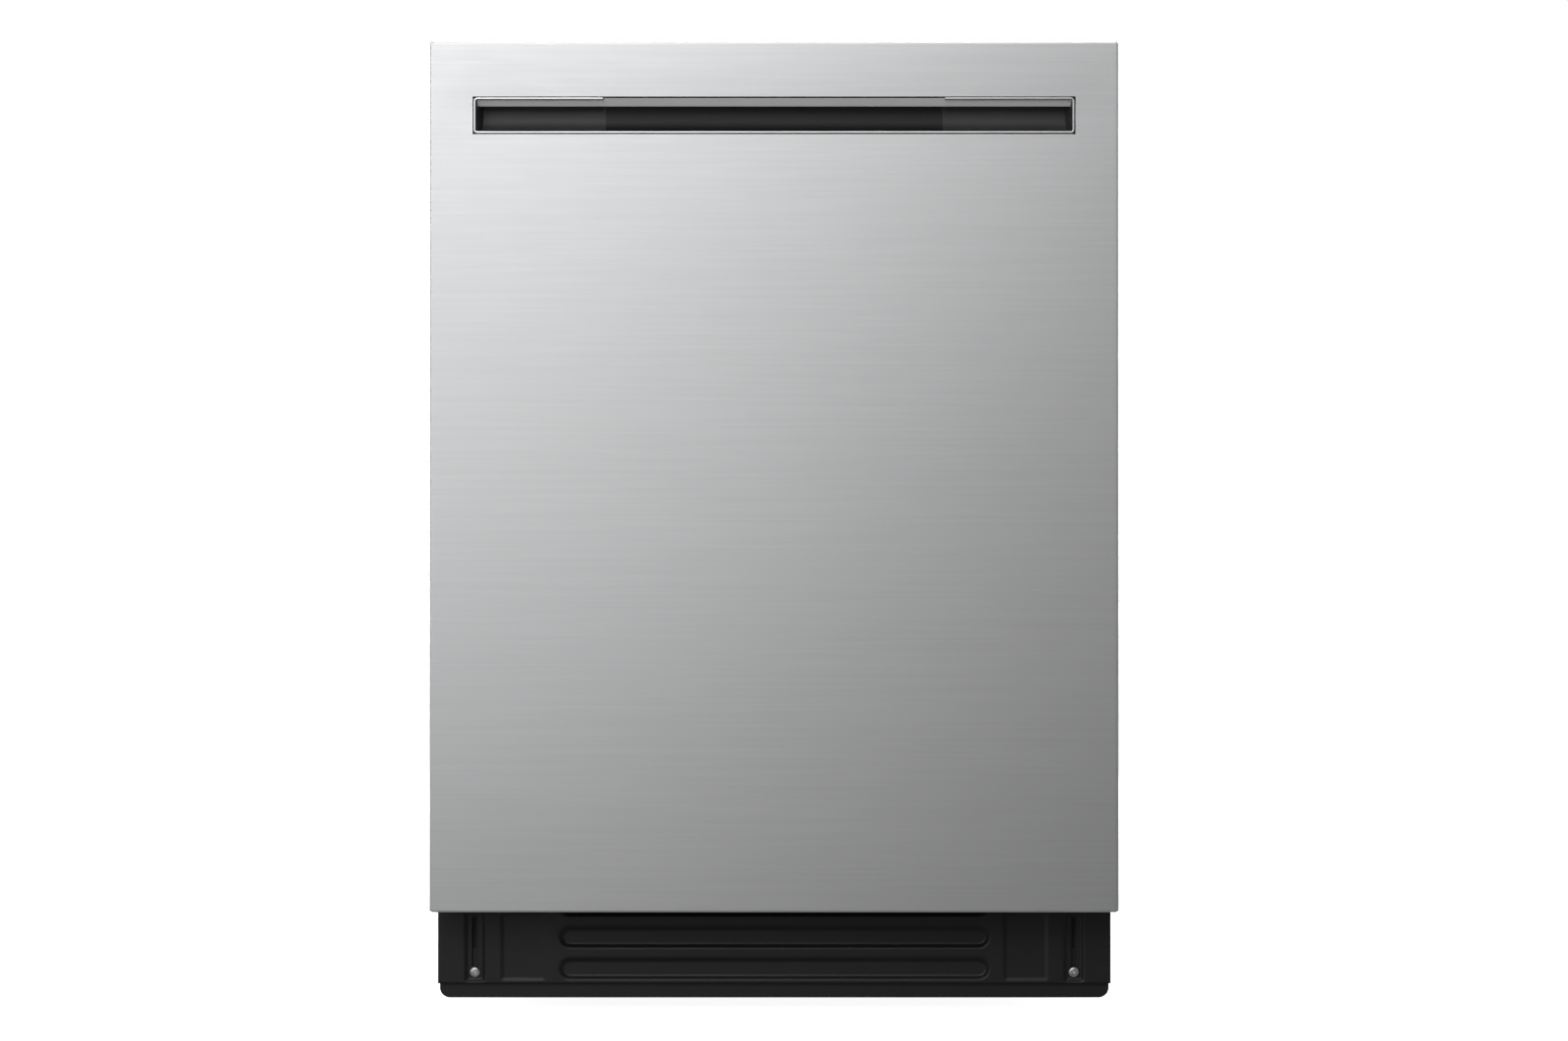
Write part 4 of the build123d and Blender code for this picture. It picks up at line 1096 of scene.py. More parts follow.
def felt_shell(
    name: str, outer: Sequence[Point], inner: Sequence[Point], rows: int
) -> bpy.types.Object:
    """Closes two grids of points into one soft shell.

    Args:
        name: the piece's name.
        outer, inner: the points of the two faces, column after column.
        rows: how many points make a column.

    Returns:
        The closed shell.
    """
    bm = bmesh.new()
    layers = [[bm.verts.new(Vector(spot) * MM) for spot in face] for face in (outer, inner)]
    columns = len(outer) // rows
    for layer, turn in zip(layers, (1, -1)):
        for i in range(columns - 1):
            for j in range(rows - 1):
                a, b = i * rows + j, (i + 1) * rows + j
                bm.faces.new([layer[k] for k in (a, b, b + 1, a + 1)][::turn])
    last = (columns - 1) * rows
    border = [(i * rows + end, (i + 1) * rows + end) for end in (0, rows - 1) for i in range(columns - 1)]
    border += [(start + j, start + j + 1) for start in (0, last) for j in range(rows - 1)]
    for a, b in border:
        bm.faces.new((layers[0][a], layers[0][b], layers[1][b], layers[1][a]))
    bmesh.ops.recalc_face_normals(bm, faces=bm.faces)
    return from_bmesh(name, bm)


@dataclass
class SoundBlanket:
    """Quilted felt over the tub's sides, top and back, sewn in squares."""

    half: float = 287.0
    inner: float = 277.2
    low: float = 150.5
    high: float = 839.0
    under: float = 829.2
    corner: float = 26.0
    front: float = -203.0
    back: float = 262.2
    pad_back: float = 274.0
    quilt: float = 116.0
    cell: float = 11.6
    sink: float = 5.5
    gap: float = 0.9
    swell: float = 0.9

    def seam(self, along: float, across: float) -> float:
        """How near a place is to a quilting seam, 1 on it and 0 in a square."""
        away = min(
            abs((along / self.quilt) % 1 - 0.5), abs((across / self.quilt) % 1 - 0.5)
        ) * self.quilt
        return max(0.0, 1 - away / (self.cell * 1.1)) ** 0.8

    def wrap(self) -> None:
        """The U over both sides and the top."""
        x, low, high = self.half, self.low, self.high
        outline = rounded_path([(-x, low), (-x, high), (x, high), (x, low)], self.corner, 5)
        dense: list[Pair] = [outline[0]]
        for spot in outline[1:]:
            last = dense[-1]
            parts = max(1, round(math.dist(last, spot) / self.cell))
            dense += [
                (last[0] + (spot[0] - last[0]) * n / parts, last[1] + (spot[1] - last[1]) * n / parts)
                for n in range(1, parts + 1)
            ]
        ys = spaced(self.front, self.back, round((self.back - self.front) / self.cell) + 1)
        run, lengths = 0.0, [0.0]
        for one, two in zip(dense, dense[1:]):
            run += math.dist(one, two)
            lengths.append(run)
        outer: list[Point] = []
        inner: list[Point] = []
        straight, shoulder = self.half - self.corner, self.high - self.corner
        for (x, z), along in zip(dense, lengths):
            centre = Vector((max(-straight, min(straight, x)), min(z, shoulder)))
            out = (Vector((x, z)) - centre).normalized()
            for y in ys:
                dip = self.sink * self.seam(along, y - self.front)
                edge = min(y - self.front, self.back - y, along, run - along)
                dip = max(dip, 2.0 - edge) if edge < 2 else dip
                outer.append((x - out.x * dip, y, z - out.y * dip))
                inner.append((math.copysign(min(abs(x), self.inner), x), y, min(z, self.under)))
        piece = felt_shell("felt_wrap", outer, inner, len(ys))

        def held(spot: Vector) -> bool:
            """The inner face, the edges and the seams stay where they are."""
            inside = abs(spot.x) < self.inner + 0.1 and spot.z < self.under + 0.1
            rim = min(spot.y - self.front, self.back - spot.y, spot.z - self.low) < 1.5
            beside = abs(spot.x) > self.inner and spot.z < shoulder
            sunk = self.half - abs(spot.x) if beside else self.high - spot.z
            return inside or rim or sunk > self.sink * 0.5

        self.finish(puffed(piece, held, self.swell), "sound_blanket")

    def pad(self) -> None:
        """The flat pad behind the tub."""
        us = spaced(-self.half, self.half, round(2 * self.half / self.cell) + 1)
        vs = spaced(self.low, self.high, round((self.high - self.low) / self.cell) + 1)
        outer: list[Point] = []
        inner: list[Point] = []
        for u in us:
            for v in vs:
                dip = self.sink * self.seam(u + self.half, v - self.low)
                outer.append((u, self.pad_back - dip, v))
                inner.append((u, self.back + self.gap, v))
        piece = felt_shell("felt_pad", outer, inner, len(vs))

        def held(spot: Vector) -> bool:
            """The inner face, the edges and the seams stay where they are."""
            rim = min(self.half - abs(spot.x), spot.z - self.low, self.high - spot.z) < 1.0
            return rim or spot.y < self.pad_back - self.sink * 0.5

        self.finish(puffed(piece, held, self.swell))

    def finish(self, piece: bpy.types.Object, *stands_for: str) -> None:
        """Smooths a felt piece once and dresses it."""
        smooth = piece.modifiers.new("smooth", "SUBSURF")
        smooth.levels = smooth.render_levels = 1
        dress(settle(piece, 60), FELT, "cabinet", *stands_for)

    def build(self) -> None:
        """Makes the wrap and the pad."""
        self.wrap()
        self.pad()


# ------------------------------------------------------------------------ racks
@dataclass
class WireRack:
    """A basket of coated wire: hoops both ways, closed rims and rows of tines."""

    name: str
    body: str
    node: str
    half: float
    front: float
    back: float
    floor: float
    rim: float
    wire: float = 2.0
    rim_wire: float = 2.5
    hoop_bend: float = 16.0
    rim_bend: float = 22.0

    def hoops(self) -> list[Line]:
        """The bent wires that make the floor and the walls."""
        under = self.floor - 2 * self.wire
        lines = []
        for x in spaced(-self.half + 10, self.half - 10, 13):
            lines.append(([
                (x, self.front, self.rim), (x, self.front, self.floor), (x, self.back, self.floor),
                (x, self.back, self.rim),
            ], False))
        for y in spaced(self.front + 10, self.back - 10, 9):
            lines.append(([
                (-self.half, y, self.rim), (-self.half, y, under), (self.half, y, under),
                (self.half, y, self.rim),
            ], False))
        return lines

    def rims(self) -> list[Line]:
        """The two thicker wires that go right round."""
        x, low, high = self.half + 2 * self.wire, self.front - 2 * self.wire, self.back + 2 * self.wire
        return [
            ([(-x, low, z), (x, low, z), (x, high, z), (-x, high, z)], True)
            for z in ((self.floor + self.rim) / 2, self.rim)
        ]

    def basket(self, tines: list[Line]) -> None:
        """The wires of the rack, with its fixed tines."""
        dress(
            wires(f"{self.name}_wires", self.hoops() + tines, self.wire, self.hoop_bend, RACK_COATING),
            RACK_COATING, self.body, self.node,
        )
        dress(
            wires(f"{self.name}_rims", self.rims(), self.rim_wire, self.rim_bend, RACK_COATING),
            RACK_COATING, self.body,
        )

    def tines(self, base: tuple[Point, Point], places: Iterable[Pair], height: float) -> list[Line]:
        """A row of tines that stand on one long base wire."""
        lines = [([base[0], base[1]], False)]
        z = base[0][2]
        return lines + [([(x, y, z), (x, y, z + height)], False) for x, y in places]


@dataclass
class LowerRack(WireRack):
    """The lower basket with its folding tines, its pull and its wheel hangers."""

    tine_rows: tuple[float, ...] = (-40.0, 20.0, 160.0)
    fold_y: float = 75.0
    fold_z: float = 170.8
    axles: Pair = (-85.0, 165.0)
    axle_z: float = 141.8

    def hangers(self) -> None:
        """Four plates that carry the wheels on stub axles."""
        pieces = []
        for side in (-1, 1):
            for y in self.axles:
                xs = tuple(sorted((side * 248.0, side * 252.0)))
                pieces.append(slab("hanger", xs, (y - 12, y + 12), (134, 176), 1.9))
                pieces.append(slab("hanger_rib", xs, (y - 4, y + 4), (170, 200), 1.6))
                rings = [(0.0, 0.0), (2.3, 0.0), (2.95, 0.7), (2.95, 13.0)]
                pieces.append(turned("axle", rings, (side * 235.2, y, self.axle_z), (side, 0, 0), 20))
        dress(joined("lower_rack_hangers", pieces), RACK_PLASTIC, self.body)

    def pull(self) -> None:
        """A ribbed plate at the front for the hand."""
        pieces = [slab("pull", (-60, 60), (-246, -242), (276, 300), 1.9, 4)]
        rib = slab("rib", (-1.2, 1.2), (-0.5, 0.5), (-8, 8), 0.4, 1)
        pieces.append(row(rib, RACK_PLASTIC, 13, (-48, -245.6, 288), (8, 0, 0)))
        dress(joined("lower_rack_pull", pieces), RACK_PLASTIC, self.body)

    def build(self) -> None:
        """Makes the whole lower rack."""
        fixed = []
        z = self.floor + 2 * self.wire
        for y in self.tine_rows:
            places = [(x, y) for x in spaced(-220, 220, 12)]
            fixed += self.tines(((-232, y, z), (232, y, z)), places, 70 - 4)
        self.basket(fixed)
        ends = ((-215, self.fold_y, self.fold_z), (215, self.fold_y, self.fold_z))
        places = [(x, self.fold_y) for x in spaced(-200, 200, 11)]
        lines = self.tines(ends, places, 68)
        dress(
            wires("lower_rack_fold", lines, self.wire, 4, RACK_COATING), RACK_COATING, "lower_tines",
            "lower_rack_tines",
        )
        self.hangers()
        self.pull()


@dataclass
class UpperRack(WireRack):
    """The upper basket with its folding tines, its shelf's pivot and rail plates."""

    tine_rows: Pair = (-100.0, 120.0)
    fold_x: float = 20.0
    fold_z: float = 486.8
    rail_z: float = 560.0
    shelf: Pair = (-236.0, 572.0)

    def build(self) -> None:
        """Makes the whole upper rack."""
        fixed = []
        z = self.floor + 2 * self.wire
        for x in self.tine_rows:
            places = [(x, y) for y in spaced(-190, 190, 11)]
            fixed += self.tines(((x, -205, z), (x, 205, z)), places, 55 - 4)
        self.basket(fixed)
        ends = ((self.fold_x, -195, self.fold_z), (self.fold_x, 195, self.fold_z))
        places = [(self.fold_x, y) for y in spaced(-180, 180, 10)]
        dress(
            wires("upper_rack_fold", self.tines(ends, places, 52), self.wire, 4, RACK_COATING), RACK_COATING,
            "upper_tines", "upper_rack_tines",
        )
        x, height = self.shelf
        pivot = [([(-244, -195, height), (x, -195, height), (x, -5, height), (-244, -5, height)], False)]
        dress(wires("shelf_pivot", pivot, 1.44, 1.6, RACK_COATING), RACK_COATING, self.body)
        plates = []
        for side in (-1, 1):
            xs = tuple(sorted((side * 243.7, side * 253.6)))
            plates.append(slab("rail_plate", xs, (-170, 170), (self.rail_z - 20, self.rail_z + 20), 3.0))
            for y in (-120, 0, 120):
                rings = [(0.0, 0.0), (3.0, 0.0), (5.4, 0.9), (5.6, 2.2), (5.6, 3.0)]
                plates.append(turned("stud", rings, (side * 241.4, y, self.rail_z), (side, 0, 0), 24))
        dress(joined("upper_rack_plates", plates), RACK_PLASTIC, self.body)


@dataclass
class RackWheels:
    """Two pairs of spoked wheels."""

    middle: float = 241.0
    half_width: float = 5.0
    radius: float = 17.5
    bore: float = 3.06
    height: float = 141.8
    axles: Pair = (-85.0, 165.0)

    def wheel(self, side: int, y: float) -> bpy.types.Object:
        """One wheel with its tyre, hub and five spokes."""
        w, r = self.half_width, self.radius
        place, axis = (side * self.middle, y, self.height), (1, 0, 0)
        tyre = [
            (14.0, -w + 0.8), (14.8, -w), (r - 1.6, -w), (r - 0.4, -w + 0.6), (r, -w + 2), (r, w - 2),
            (r - 0.4, w - 0.6), (r - 1.6, w), (14.8, w), (14.0, w - 0.8), (14.0, -w + 0.8),
        ]
        hub = [
            (self.bore, -w), (5.4, -w), (6.0, -w + 0.6), (6.0, w - 0.6), (5.4, w), (self.bore, w),
            (self.bore, -w),
        ]
        web = [(5.8, -1.2), (14.2, -1.2), (14.2, 1.2), (5.8, 1.2), (5.8, -1.2)]
        parts = [turned("ring", rings, place, axis, 40) for rings in (tyre, hub, web)]
        spoke = slab("spoke", (5.6, 14.4), (-1.1, 1.1), (-w + 1.4, w - 1.4), 0.4, 1)
        where = tuple(n * MM for n in place)
        parts.append(
            ring_tree().grow(spoke, RACK_PLASTIC, Count=5, Place=where, Turn=(0.0, math.pi / 2, 0.0))
        )
        return joined("wheel", parts)

    def build(self) -> None:
        """Makes the front and the rear pair."""
        for label, y in zip(("front", "rear"), self.axles):
            pair = joined(f"wheels_{label}", [self.wheel(side, y) for side in (-1, 1)])
            dress(pair, RACK_PLASTIC, f"{label}_wheels", f"rack_wheels_{label}")


@dataclass
class CutleryBasket:
    """A slatted basket in three cells with a handle over it."""

    x: Pair = (-20.0, 228.0)
    y: Pair = (-228.0, -140.0)
    low: float = 169.0
    high: float = 286.0
    slat: float = 3.2
    wall: float = 1.8
    gap: float = 8.0

    def band(self, low: float, high: float, thick: float) -> bpy.types.Object:
        """A band that goes right round the basket."""
        inset = thick / 2
        xs, ys = (self.x[0] + inset, self.x[1] - inset), (self.y[0] + inset, self.y[1] - inset)
        corners = [(0, ys[0]), (xs[1], ys[0]), (xs[1], ys[1]), (xs[0], ys[1]), (xs[0], ys[0]), (0, ys[0])]
        path = [(px, py, (low + high) / 2) for px, py in rounded_path(corners, 9.0)][:-1]
        return swept("band", path, rounded_bar(thick, high - low, 0.7, 2), (0, 0, 1), closed=True)

    def slats(self) -> list[bpy.types.Object]:
        """The upright slats of the four walls and the two dividers."""
        upright = (self.low + 1, self.high - 3)
        half, thin = self.slat / 2, self.wall / 2
        rows = []
        count = round((self.x[1] - self.x[0] - 22) / self.gap)
        step = (self.x[1] - self.x[0] - 22) / (count - 1)
        for y in (self.y[0] + thin + 0.2, self.y[1] - thin - 0.2):
            piece = slab("slat", (-half, half), (-thin, thin), upright, 0.5, 1)
            rows.append(row(piece, RACK_PLASTIC, count, (self.x[0] + 11, y, 0), (step, 0, 0)))
        count = round((self.y[1] - self.y[0] - 22) / self.gap)
        pitch = (self.y[1] - self.y[0] - 22) / (count - 1)
        cells = spaced(*self.x, 4)
        for x in (self.x[0] + thin + 0.2, cells[1], cells[2], self.x[1] - thin - 0.2):
            piece = slab("slat", (-thin, thin), (-half, half), upright, 0.5, 1)
            rows.append(row(piece, RACK_PLASTIC, count, (x, self.y[0] + 11, 0), (0, pitch, 0)))
        return rows

    def build(self) -> None:
        """Makes the basket as one piece."""
        parts = self.slats()
        parts += [self.band(self.low, self.low + 9, 2.4), self.band(222, 228, 2.2)]
        parts.append(self.band(self.high - 6, self.high, 3.0))
        inner_x, inner_y = (self.x[0] + 1, self.x[1] - 1), (self.y[0] + 1, self.y[1] - 1)
        parts.append(slab("base", inner_x, inner_y, (self.low, self.low + 2), 0.8))
        ribs = slab("rib", (-1, 1), (self.y[0] + 2, self.y[1] - 2), (170.6, 173), 0.4, 1)
        parts.append(row(ribs, RACK_PLASTIC, 19, (self.x[0] + 16, 0, 0), (12, 0, 0)))
        for x in spaced(*self.x, 4)[1:3]:
            for z in ((self.high - 5, self.high - 0.5), (222.5, 227.5)):
                parts.append(slab("tie", (x - 1.2, x + 1.2), inner_y, z, 0.5, 1))
        middle, deep = sum(self.x) / 2, sum(self.y) / 2
        for x in (middle - 55, middle + 55):
            parts.append(slab("post", (x - 4, x + 4), (deep - 6, deep + 6), (199, 331), 2.4))
            parts.append(slab("arm", (x - 4, x + 4), inner_y, (274, 282), 1.8))
        parts.append(slab("handle", (middle - 59, middle + 59), (deep - 6, deep + 6), (322, 334), 3.4, 4))
        dress(joined("cutlery_basket_slats", parts), RACK_PLASTIC, "cutlery", "cutlery_basket")


# ------------------------------------------------------------------- wash system
Blade = tuple[float, float, float, float]
LOWER_BLADES: tuple[Blade, ...] = (
    (20, 196, 50, 34), (200, 196, 50, 34), (110, 130, 40, 28), (290, 130, 40, 28)
)
MIDDLE_BLADES: tuple[Blade, ...] = ((35, 170, 46, 30), (215, 170, 46, 30))
TOP_BLADES: tuple[Blade, ...] = ((60, 100, 40, 26), (240, 100, 40, 26))


@dataclass
class SprayArm:
    """A hollow arm with rounded blades, a hub and rows of nozzles.

    A blade is given by its angle in degrees, its length, and its width at the
    hub and at the end.
    """

    node: str
    body: str
    low: float
    blades: tuple[Blade, ...]
    hub: float
    bore: float
    span: Pair
    bore_end: float
    opens_up: bool
    nozzles_down: bool = False
    centre_y: float = 3.0
    thickness: float = 10.0

    def blade(self, angle: float, length: float, root: float, tip: float) -> bpy.types.Object:
        """One blade with a crowned top, a flat underside and a round end."""
        turn = math.radians(angle)
        stations = [length * n / 8 for n in range(9)]
        stations += [length + tip / 2 * math.sin(math.pi / 2 * n / 6) for n in range(1, 7)]
        loops = []
        for s in stations:
            wide = root + (tip - root) * min(1.0, s / length)
            if s > length:
                wide = tip * math.sqrt(max(0.002, 1 - ((s - length) / (tip / 2)) ** 2))
            ends = max(0.55, wide / tip) if s > length else 1.0
            tall = self.thickness * min(1.0, ends + 0.1)
            loop = []
            for n in range(20):
                spin = 2 * math.pi * n / 20
                across = wide / 2 * math.copysign(abs(math.cos(spin)) ** 0.62, math.cos(spin))
                up = math.copysign(abs(math.sin(spin)) ** 0.8, math.sin(spin))
                middle = self.low + self.thickness / 2
                loop.append((
                    s * math.cos(turn) - across * math.sin(turn),
                    self.centre_y + s * math.sin(turn) + across * math.cos(turn),
                    middle + up * tall / 2,
                ))
            loops.append(loop)
        return lofted("blade", loops)

    def nozzle(self, angle: float, reach: float, offset: float) -> bpy.types.Object:
        """A raised jet with a sunk mouth."""
        turn = math.radians(angle)
        place = (
            reach * math.cos(turn) - offset * math.sin(turn),
            self.centre_y + reach * math.sin(turn) + offset * math.cos(turn),
            self.low if self.nozzles_down else self.low + self.thickness,
        )
        rings = [(4.2, -1.6), (3.9, 0.3), (3.1, 0.9), (2.1, 0.95), (1.7, 0.5), (1.2, -0.6), (0.0, -0.7)]
        return turned("jet", rings, place, (0, 0, -1 if self.nozzles_down else 1), 16)

    def centre(self) -> bpy.types.Object:
        """The hub, open where it turns on its spigot."""
        low, high = self.span
        bore, hub = self.bore + 0.06, self.hub
        if self.opens_up:
            low, high = high, low
        sign = 1 if high > low else -1
        rings = [
            (0.0, self.bore_end), (bore, self.bore_end), (bore, low), (hub - 1.2, low),
            (hub, low + 1.2 * sign), (hub, high - 2.4 * sign), (hub - 0.7, high - 0.7 * sign),
            (hub - 2.4, high), (7.0, high),
            (6.2, high - 0.8 * sign), (0.0, high - 0.8 * sign),
        ]
        return turned("hub", rings, (0, self.centre_y, 0), (0, 0, 1), 48)

    def build(self) -> None:
        """Makes the arm as one piece."""
        parts = [self.centre()]
        for angle, length, root, tip in self.blades:
            parts.append(settle(self.blade(angle, length, root, tip), 50))
            for n, share in enumerate((0.24, 0.42, 0.6, 0.77, 0.93)):
                offset = (root * 0.12) * (1 if n % 2 else -1)
                parts.append(self.nozzle(angle, length * share + 14, offset))
        dress(joined(f"{self.node}_shell", parts), WASH_PLASTIC, self.body, self.node)


@dataclass
class FilterPlate:
    """The steel plate over the sump, pierced all over with six-sided holes."""

    radius: float = 116.0
    rim: float = 9.0
    low: float = 106.0
    high: float = 107.2
    centre_y: float = 3.0
    pitch: float = 5.6
    hole: float = 1.75
    post: float = 18.5
    cartridge: Point = (50.0, -39.0, 33.0)

    def build(self) -> None:
        """Makes the pierced sheet and its three plain borders."""
        bm = bmesh.new()
        outer = self.pitch / math.sqrt(3)
        rows = int(self.radius / (outer * 1.5)) + 1
        places = [
            (self.pitch * (i + (j % 2) / 2), outer * 1.5 * j)
            for j in range(-rows, rows + 1)
            for i in range(-rows, rows + 1)
        ]
        for x, y in places:
            away = math.hypot(x, y)
            near = math.hypot(x - self.cartridge[0], y + self.centre_y - self.cartridge[1])
            if away > self.radius - 3.4 or away < self.post + 3.4 or near < self.cartridge[2] + 3.4:
                continue
            rings = []
            for reach in (outer, self.hole):
                rings.append([
                    bm.verts.new(Vector((
                        x + reach * math.cos(math.pi / 6 + math.pi / 3 * n),
                        self.centre_y + y + reach * math.sin(math.pi / 6 + math.pi / 3 * n),
                        self.high - 0.15,
                    )) * MM)
                    for n in range(6)
                ])
            for n in range(6):
                nxt = (n + 1) % 6
                bm.faces.new((rings[0][n], rings[0][nxt], rings[1][nxt], rings[1][n]))
        bmesh.ops.remove_doubles(bm, verts=bm.verts, dist=2e-5)
        bmesh.ops.recalc_face_normals(bm, faces=bm.faces)
        if sum(face.normal.z for face in bm.faces) < 0:
            bmesh.ops.reverse_faces(bm, faces=bm.faces)
        pierced = settle(thicken(from_bmesh("pierced", bm), 0.8))
        parts = [pierced]
        cx, cy, cr = self.cartridge
        for x, y, inside, outside in (
            (0.0, self.centre_y, self.radius - self.rim, self.radius),
            (0.0, self.centre_y, self.post, self.post + 6),
            (cx, cy, cr, cr + 6),
        ):
            rings = [
                (inside, self.low), (outside, self.low), (outside, self.high - 0.3),
                (outside - 0.3, self.high), (inside + 0.3, self.high), (inside, self.high - 0.3),
                (inside, self.low),
            ]
            parts.append(turned("border", rings, (x, y, 0), (0, 0, 1), 72))
        dress(joined("filter_sheet", parts), FILTER_MESH, "cabinet", "filter_plate")


@dataclass
class DoorSprings:
    """Two coil springs with hooked ends, from the hinge arms to the anchors."""

    x: float = 287.5
    hook: Pair = (-227.0, 112.0)
    anchor: Pair = (-160.0, 45.0)
    coil: float = 5.7
    wire: float = 1.25
    turns: float = 21.0

    def build(self) -> None:
        """Makes each spring, which stretches between the door and the cabinet."""
        for side, label in ((-1, "left"), (1, "right")):
            start, end = (Vector((side * self.x, *spot)) for spot in (self.hook, self.anchor))
            ahead = (end - start).normalized()
            first, last = start + ahead * 22, end - ahead * 14
            turn = Vector((0, 0, 1)).rotation_difference(ahead)
            seed = lines_object("seed", [([tuple(first), tuple(last)], False)])
            coil = coil_tree().grow(
                seed, SPRING_STEEL, Turns=self.turns, Coil_Radius=self.coil * MM,
                Length=(last - first).length * MM, Radius=self.wire * MM, Place=tuple(first * MM),
                Turn=tuple(turn.to_euler()),
            )
            side_on = Vector((1, 0, 0)).cross(ahead)

            def loop(tip: Vector, out: Vector) -> list[Point]:
                """A hook round the hole at tip, from the coil's end."""
                middle = tip - out * 3.4
                points = [tip - out * 20 + side_on * self.coil * 0.8, tip - out * 12]
                for n in range(8):
                    spin = math.pi * (-0.75 + 1.75 * n / 7)
                    points.append(middle + out * 3.4 * math.cos(spin) + side_on * 3.4 * math.sin(spin))
                return [tuple(point) for point in points]

            ends = wires(
                "ends", [(loop(start - ahead * 1.5, -ahead), False), (loop(end + ahead * 1.5, ahead), False)],
                self.wire, 1.2, SPRING_STEEL,
            )
            piece = joined(f"spring_{label}", [coil, ends])
            piece.data.materials.clear()
            piece.data.materials.append(SPRING_STEEL.material())
            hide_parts(f"door_spring_{label}")
            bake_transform(piece)


# ----------------------------------------------------------------- tub and base
@dataclass
class TubBack:
    """The pressed steel back with its stiffening panels."""

    half: float = 275.0
    low: float = 123.0
    high: float = 827.0
    front: float = 262.0
    corner: float = 25.0
    press: float = 2.4
    slope: float = 6.0
    panels: tuple[tuple[float, float, float, float], ...] = (
        (62, 240, 170, 400), (62, 240, 440, 600), (62, 240, 640, 790),
    )

    def relief(self, x: float, z: float) -> float:
        """How far the sheet is pressed forwards."""
        depth = 0.0
        for left, right, low, high in self.panels:
            inside = min(abs(x) - left, right - abs(x), z - low, high - z)
            share = min(1.0, max(0.0, inside / self.slope))
            depth = max(depth, self.press * share * share * (3 - 2 * share))
        return depth

    def build(self) -> None:
        """Makes the sheet with rounded corners."""
        us = spaced(-self.half, self.half, 111)
        vs = spaced(self.low, self.high, 142)
        inner, top = self.half - self.corner, self.high - self.corner

        def place(u: float, v: float) -> Point:
            """The face towards the tub, with its corners drawn in."""
            x, z = u, v
            over = Vector((max(0.0, abs(u) - inner), max(0.0, v - top, self.low + self.corner - v)))
            if over.x > 0 and over.y > 0:
                share = max(over) / over.length
                x = math.copysign(inner + over.x * share, u)
                z = top + over.y * share if v > top else self.low + self.corner - over.y * share
            return x, self.front - self.relief(x, z), z

        sheet = grid_sheet("tub_back_sheet", us, vs, place, lambda u, v: True)
        dress(settle(thicken(sheet, 0.9), 50), TUB_STEEL, "cabinet", "tub_back")


@dataclass
class Gasket:
    """The soft bulb round the tub's mouth, with a thin lip."""

    x: float = 279.5
    low: float = 150.0
    high: float = 831.5
    middle: float = -258.75
    corner: float = 29.5

    def build(self) -> None:
        """Sweeps the bulb up one side, over the top and down the other."""
        ends = [(-self.x, self.low), (-self.x, self.high), (self.x, self.high), (self.x, self.low)]
        path = [(x, self.middle, z) for x, z in rounded_path(ends, self.corner, 10)]
        section = [
            (3.4, 2.7), (1.2, 2.7), (0.9, 2.2), (-0.9, 2.2), (-1.2, 2.7), (-3.4, 2.7), (-3.5, 1.2),
            (-3.0, -0.4),
            (-2.2, -1.6), (-1.1, -2.5), (0.2, -2.75), (1.6, -2.4), (2.5, -1.4), (3.1, -0.2), (3.5, 1.2),
        ]
        piece = swept("mouth_gasket", path, section, (0, 1, 0))
        dress(settle(piece, 60), SEAL_RUBBER, "cabinet", "tub_gasket")


@dataclass
class Feet:
    """Four moulded feet on threaded stems."""

    places: tuple[tuple[str, Pair], ...]

    def build(self) -> None:
        """Makes each foot: a ribbed pad, a collar and a stem with its thread."""
        rings = [
            (0.0, 1.0), (9.0, 1.0), (10.0, 0.0), (17.6, 0.0), (19.0, 1.4), (19.0, 5.4), (17.4, 7.4),
            (9.4, 8.6),
            (8.0, 9.6), (8.0, 13.2), (7.2, 14.0), (4.4, 14.2), (4.4, 55.0), (3.4, 56.0), (0.0, 56.0),
        ]
        for label, (x, y) in self.places:
            pad = settle(turned("pad", rings, (x, y, 0), (0, 0, 1), 40), 36)
            seed = lines_object("seed", [([(x, y, 15), (x, y, 54)], False)])
            thread = coil_tree().grow(
                seed, FOOT_PLASTIC, Turns=19.0, Coil_Radius=4.45 * MM, Length=39 * MM, Radius=0.55 * MM,
                Place=(x * MM, y * MM, 15.5 * MM), Turn=(0.0, 0.0, 0.0),
            )
            dress(joined(f"{label}_pad", [pad, thread]), FOOT_PLASTIC, f"leg_{label[5:]}", label)


